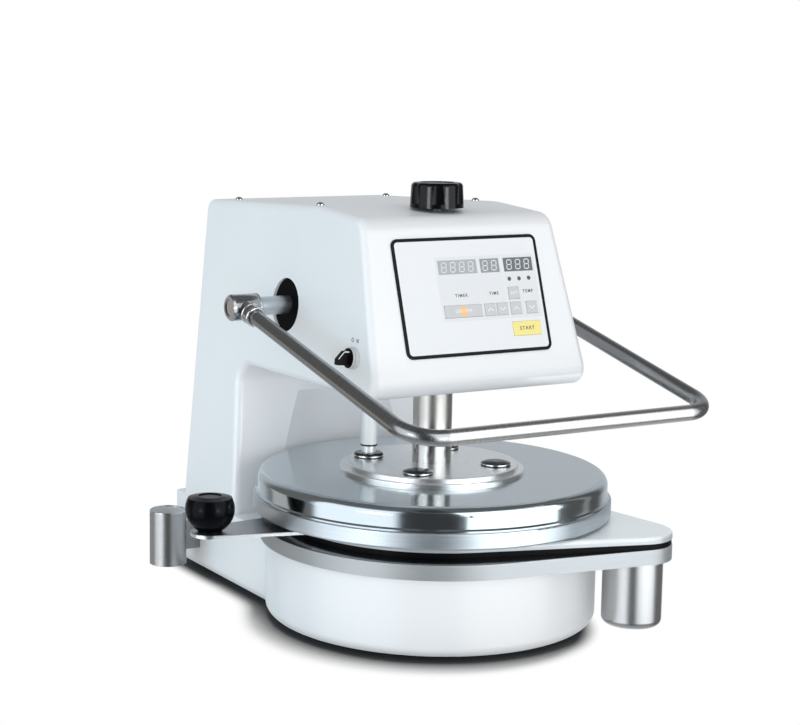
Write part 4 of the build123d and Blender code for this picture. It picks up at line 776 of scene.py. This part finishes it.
plate_metal, shader, place = finish("ground_aluminium", (0.56, 0.575, 0.585), 0.45, 0.7)
lines = place.noise(16.0, 3.0, (1.0, 1.0, 80.0))
lines.tint((0.37, 0.39, 0.405), (0.47, 0.488, 0.502)).into(shader, "Base Color")
polish = top_face(place, "lower_plate", 0.0004, 0.0001)
(0.7 + 0.3 * polish).into(shader, "Metallic")
((1 - polish) * (0.36 + 0.18 * lines) + 0.12 * polish).into(shader, "Roughness")
lines.dent(shader, 0.00005, 0.2)
dress(plate_metal, "lower_plate")

tray_metal, shader, place = finish("satin_aluminium", (0.90, 0.935, 0.955), 0.28, 0.15)
shader.inputs["Coat Weight"].default_value = 0.4
shader.inputs["Coat Roughness"].default_value = 0.15
# Pale on the blasted top, and painted shade down the rounded edge and sides.
blasted_top_shaded_sides = top_face(place, "tray_plate", 0.0045, 0.0004)
blasted_top_shaded_sides.tint((0.55, 0.585, 0.61), (0.92, 0.96, 0.985)).into(shader, "Base Color")
fine = place.noise(2400.0, 3.0)
(0.22 + 0.12 * fine).into(shader, "Roughness")
fine.dent(shader, 0.00002, 0.06)
dress(tray_metal, "tray_plate")

pad_black, shader, place = finish("black_slide_pad", (0.003, 0.003, 0.004), 0.4)
place.noise(700.0).dent(shader, 0.00008, 0.3)
(0.36 + 0.14 * place.noise(60.0)).into(shader, "Roughness")
shader.inputs["Specular IOR Level"].default_value = 0.08
dress(pad_black, "slide_pad")


# Pivot case under the tab: a deep-drawn stainless cup, polished round its girth.
# It hides the zinc-plated pin that the tray swings on, and its nut.
case_steel, shader, place = finish("polished_stainless", (0.50, 0.50, 0.505), 0.3, 1.0)
lines = place.noise(20.0, 3.0, (1.0, 1.0, 60.0))
lines.tint((0.45, 0.45, 0.455), (0.54, 0.54, 0.545)).into(shader, "Base Color")
(0.24 + 0.14 * lines).into(shader, "Roughness")
dress(case_steel, "pivot_case")
dress(zinc, "pivot_pin", "pivot_nut")


# Tray handle: a stainless plate in the tray's edge, brushed along its length, its edges painted bright
# as a highlight and its top painted dark as a dark reflection.
# A black moulded ball knob with a dished crown is screwed on a zinc-plated stud at its end.
brushed, shader, place = finish("brushed_stainless", (0.32, 0.335, 0.345), 0.3, 1.0)
lines = place.noise(30.0, 4.0, (1.0, 40.0, 40.0))
shade = lines.tint((0.25, 0.265, 0.275), (0.34, 0.355, 0.365))
# Painted highlight on the edges, and a painted dark reflection on the top.
dark_top_highlit_edges = top_face(place, "tray_handle", 0.0012, 0.0004)
dark_top_highlit_edges.tint((0.80, 0.81, 0.82), shade).into(shader, "Base Color")
(0.22 + 0.2 * lines).into(shader, "Roughness")
lines.dent(shader, 0.00004, 0.25)
dress(brushed, "tray_handle")

ball_black, shader, place = finish("matte_black_ball", (0.002, 0.0025, 0.004), 0.34)
place.noise(1300.0).dent(shader, 0.00008, 0.3)
(0.19 + 0.08 * place.noise(70.0)).into(shader, "Roughness")
shader.inputs["Specular IOR Level"].default_value = 0.08
dress(ball_black, "ball_knob")
dress(zinc, "ball_stud")


# Utensil cup: a drawn stainless cup, brushed round its girth, on a bracket at the base's side.
# Its rolled rim is brighter than the wall, and its inside is painted brighter and less metallic, as
# painted light.
cup_steel, shader, place = finish("brushed_cup", (0.50, 0.50, 0.505), 0.34, 1.0)
cup_low, cup_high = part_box("utensil_cup")
cup_mid = (cup_low + cup_high) / 2
cup_r = (cup_high.x - cup_low.x) / 2
# Painted light: the inside of the cup is made pale and less metallic.
painted_bright_inside = place.off_axis(cup_mid.x, cup_mid.y).fade(cup_r - 0.0003, cup_r - 0.0006)
lines = place.noise(18.0, 4.0, (1.0, 1.0, 70.0))
wall = lines.tint((0.38, 0.38, 0.385), (0.50, 0.50, 0.505))
painted_bright_inside.tint(wall, (0.84, 0.845, 0.85)).into(shader, "Base Color")
(1 - 0.6 * painted_bright_inside).into(shader, "Metallic")
(0.27 + 0.16 * lines).into(shader, "Roughness")
lines.dent(shader, 0.00004, 0.25)
dress(cup_steel, "utensil_cup")

bracket_zinc, shader, place = finish("dull_zinc", (0.34, 0.35, 0.36), 0.42, 1.0)
spangle = place.noise(120.0, 3.0)
spangle.tint((0.28, 0.29, 0.30), (0.40, 0.41, 0.42)).into(shader, "Base Color")
(0.36 + 0.16 * spangle).into(shader, "Roughness")
dress(bracket_zinc, "cup_bracket")

rim_in, rim_t, rim_down = 0.00075, 0.00085, 0.0006
rim_at = Vector((cup_mid.x, cup_mid.y, cup_high.z - rim_down))
fit(ring("cup_rim", rim_at, to_top, cup_r - rim_in, rim_t), bright, "root")


# Thickness knob: a gloss black moulding with wide shallow flutes, on the spindle's end.
# Its skin is smooth enough to show narrow highlights.
knob_gloss, shader, place = finish("gloss_black_moulding", (0.003, 0.003, 0.004), 0.16)
shader.inputs["Specular IOR Level"].default_value = 0.15
shader.inputs["Coat Weight"].default_value = 0.12
shader.inputs["Coat Roughness"].default_value = 0.06
(0.13 + 0.1 * place.noise(60.0)).into(shader, "Roughness")
dress(knob_gloss, "thickness_knob")


# Drive and springs inside the head and column: zinc-plated frame plates, ram cap and spring rods, cast
# iron guide, bridge and crosshead, cut steel rack and pinion, bronze bushes and black gas springs.
# The circuit board, the heater and its wool are hidden too.
dress(zinc, "frame_plate_left", "frame_plate_right", "gas_spring_rods", "ram_cap")

iron, shader, place = finish("cast_iron", (0.16, 0.16, 0.165), 0.6, 0.6)
rough = place.noise(260.0, 4.0)
rough.tint((0.12, 0.12, 0.125), (0.22, 0.22, 0.225)).into(shader, "Base Color")
rough.dent(shader, 0.0003, 0.4)
dress(iron, "ram_guide", "stop_bridge", "stop_spindle", "crosshead")

cut_steel, shader, place = finish("cut_steel", (0.46, 0.46, 0.465), 0.3, 1.0)
(0.24 + 0.2 * place.noise(120.0, 3.0, (8.0, 1.0, 1.0))).into(shader, "Roughness")
dress(cut_steel, "rack", "drive_pinion", "heater_ring")

bronze, shader, place = finish("bearing_bronze", (0.55, 0.36, 0.16), 0.35, 1.0)
place.noise(90.0).tint((0.48, 0.31, 0.14), (0.60, 0.41, 0.19)).into(shader, "Base Color")
dress(bronze, "ram_bushes", "shaft_bushes", "pivot_bush", "stop_nut")
dress(nylon, "gas_spring_barrels")

board_green, shader, place = finish("solder_mask", (0.03, 0.16, 0.07), 0.35)
place.noise(300.0, 4.0).tint((0.02, 0.12, 0.05), (0.05, 0.2, 0.1)).into(shader, "Base Color")
dress(board_green, "control_board")

wool, shader, place = finish("mineral_wool", (0.6, 0.56, 0.46), 0.95)
fluff = place.noise(400.0, 5.0)
fluff.tint((0.5, 0.46, 0.36), (0.7, 0.66, 0.56)).into(shader, "Base Color")
fluff.dent(shader, 0.0008, 0.6)
dress(wool, "insulation")


# Studio: a white table top with a painted shadow about the press's base, a broad light beside the
# camera, a bluish one on the left and two small ones, in the throat and over the tab. The shadow is the
# table's own occlusion, kept only inside an outline drawn about the base and pushed toward the camera.
# Gloss alone sees two tall softboxes with a dark gap between them, dim sides, a pale backdrop and two
# short bright strips.
yaw = radians(28.92)
table_r, table_back = 1.15, 0.1
deselect()
bpy.ops.mesh.primitive_circle_add(
    vertices=128, radius=table_r, fill_type="NGON", location=(axis_x, axis_y + table_back, 0)
)
table = bpy.context.object
table.name = "table_top"
bpy.ops.object.transform_apply(location=True, rotation=True, scale=True)

table_white, shader, place = finish("table_white", (0.05, 0.052, 0.055), 0.8)
base_low, base_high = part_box("base_housing")
foot_round = 0.006
pot_r = axis_y - base_low.y - foot_round
wall_x = 0.18
cast_front, cast_left = 0.035, 0.018
shadow_reach, blend = 0.028, 0.04
cast_x = cast_front * sin(yaw) + cast_left * cos(yaw)
cast_y = cast_front * cos(yaw) - cast_left * sin(yaw)
east, north, _ = place.axes()
# The painted shadow's outline: the pot's circle pushed toward the camera, joined to the box behind it.
past_pot = place.off_axis(axis_x - cast_x, axis_y - cast_y) - pot_r
past_box = place.math("MAXIMUM", abs(east - axis_x) - wall_x, axis_y - north)
past_box = place.math("MAXIMUM", past_box, north - base_high.y)
past_base = place.math("SMOOTH_MIN", past_pot, past_box, blend)
open_sky = place.node("AmbientOcclusion", {"samples": 12}, {"Distance": 0.075}, out="AO")
shadow = (1 - open_sky.fade(0.46, 0.97)) * past_base.fade(shadow_reach, 0.0)
bounced = place.node("LightPath", out="Is Diffuse Ray")
bounce_loss = 0.32
plain = (1 - shadow) * (1 - bounce_loss * bounced)
white = place.node("Emission", None, {"Color": (1, 1, 1, 1), "Strength": 1.0})
lit = Wire(place.tree, shader.outputs[0])
shown = place.node("MixShader", None, {0: plain, 1: lit, 2: white})
shown.into(place.tree.nodes["Material Output"], "Surface")
table.data.materials.append(table_white)
table.visible_glossy = False

world = bpy.data.worlds.new("studio")
bpy.context.scene.world = world
world.use_nodes = True
world.node_tree.nodes.clear()
sky = Wire(world.node_tree, world.node_tree.nodes.new("ShaderNodeTexCoord").outputs["Generated"])
east, north, above = sky.axes()
aside = east * cos(yaw) - north * sin(yaw)
nearer = -1 * (east * sin(yaw) + north * cos(yaw))
bearing = sky.math("ARCTAN2", aside, nearer) * (180 / pi)
backdrop = abs(bearing).fade(130, 150) * (1 - above.fade(0.35, 0.8))
low_glow = bearing.band(-134, -128, -106, -100) * above.band(-0.42, -0.3, -0.06, 0.02)
left_softbox = bearing.band(-88, -82, -29, -22) * above.band(-0.6, -0.35, 0.5, 0.75)
gap = bearing.band(-29, -22, 11, 17)
floor_glow = 1 - above.fade(-0.75, -0.55)
right_line = bearing.band(109, 112, 117, 120)
sides = abs(bearing).band(86, 94, 132, 140)
right_side = bearing.fade(86, 94) * sides
strips = abs(abs(bearing) - 40.0).fade(8.0, 4.5) * above.band(-0.06, -0.03, 0.07, 0.1)
room = 0.18 + 0.45 * backdrop + 0.42 * low_glow + 1.45 * left_softbox - 0.12 * gap
room = room + 0.4 * floor_glow + 0.22 * right_line - 0.06 * right_side + 13.0 * strips
from_camera = sky.node("LightPath", out="Is Camera Ray")
seen = sky.math("MAXIMUM", from_camera, sky.node("LightPath", out="Is Transmission Ray"))
mirrored = sky.node("LightPath", out="Is Glossy Ray")
ambient = 0.705
strength = seen + (1 - seen) * (mirrored * room + (1 - mirrored) * ambient)
shade = sides.tint((0.94, 0.985, 1.02), (1.03, 1.0, 0.95))
shade = mirrored.tint((0.99, 0.985, 0.985), shade)
shade = seen.tint(shade, (1.0, 1.0, 1.0))
shine = sky.node("Background", None, {"Color": shade, "Strength": strength})
shine.into(world.node_tree.nodes.new("ShaderNodeOutputWorld"), "Surface")


def beside(turn, reach, height):
    """A place about the ram axis, turned to the right from the camera's bearing."""
    way = yaw - radians(turn)
    return Vector((axis_x - reach * sin(way), axis_y - reach * cos(way), height))


middle = Vector((axis_x, axis_y, 0.25))
case_mid = middle_of("pivot_case")
over_tab = Vector((case_mid.x, case_mid.y, 0.32))
for name, where, aim, width, tall, power, color in (
    ("front_light", beside(8.0, 2.6, 0.35), middle, 2.0, 1.4, 24.5, (0.97, 1.0, 1.0)),
    ("left_light", beside(-78.0, 2.4, 0.75), middle, 1.6, 1.4, 12.0, (0.45, 0.84, 1.0)),
    ("right_softbox", beside(47.0, 1.05, 0.45), middle, 1.36, 1.6, 14.3, (0.94, 0.985, 1.0)),
    ("throat_light", beside(28.92, 0.075, 0.285), middle, 0.24, 0.03, 0.12, (0.97, 1.0, 1.0)),
    ("tab_light", over_tab, case_mid, 0.2, 0.2, 0.1, (0.90, 0.985, 1.0)),
):
    data = bpy.data.lights.new(name, "AREA")
    data.shape = "RECTANGLE"
    data.size = width
    data.size_y = tall
    data.energy = power
    data.color = color
    lamp = bpy.data.objects.new(name, data)
    lamp.location = where
    lamp.rotation_euler = (aim - where).to_track_quat("-Z", "Y").to_euler()
    lamp.visible_glossy = name == "right_softbox"
    lamp.visible_diffuse = name != "right_softbox"
    lamp.visible_camera = False
    bpy.context.scene.collection.objects.link(lamp)


# Camera: a long lens a little above the press, to the left of the front, with a small shift.
# Its direction is given by the yaw above, a pitch and a slight roll.
stand = Vector((axis_x - 1.2574, axis_y - 1.8938, 0.6795))
pitch = radians(7.938)
roll = radians(0.525)
forward = Vector((sin(yaw) * cos(pitch), cos(yaw) * cos(pitch), -sin(pitch)))
right = Vector((cos(yaw), -sin(yaw), 0))
upward = right.cross(forward)
camera_x = cos(roll) * right + sin(roll) * upward
camera_y = cos(roll) * upward - sin(roll) * right
lens_data = bpy.data.cameras.new("camera")
lens_data.lens = 80.97
lens_data.sensor_width = 36.0
lens_data.sensor_fit = "HORIZONTAL"
lens_data.shift_x = 0.139
lens_data.shift_y = -0.036
lens_data.clip_end = 50.0
camera = bpy.data.objects.new("camera", lens_data)
turn = Matrix((camera_x, camera_y, -forward)).transposed().to_4x4()
camera.matrix_world = Matrix.Translation(stand) @ turn
bpy.context.scene.collection.objects.link(camera)
bpy.context.scene.camera = camera
bpy.context.scene.view_settings.view_transform = "Standard"
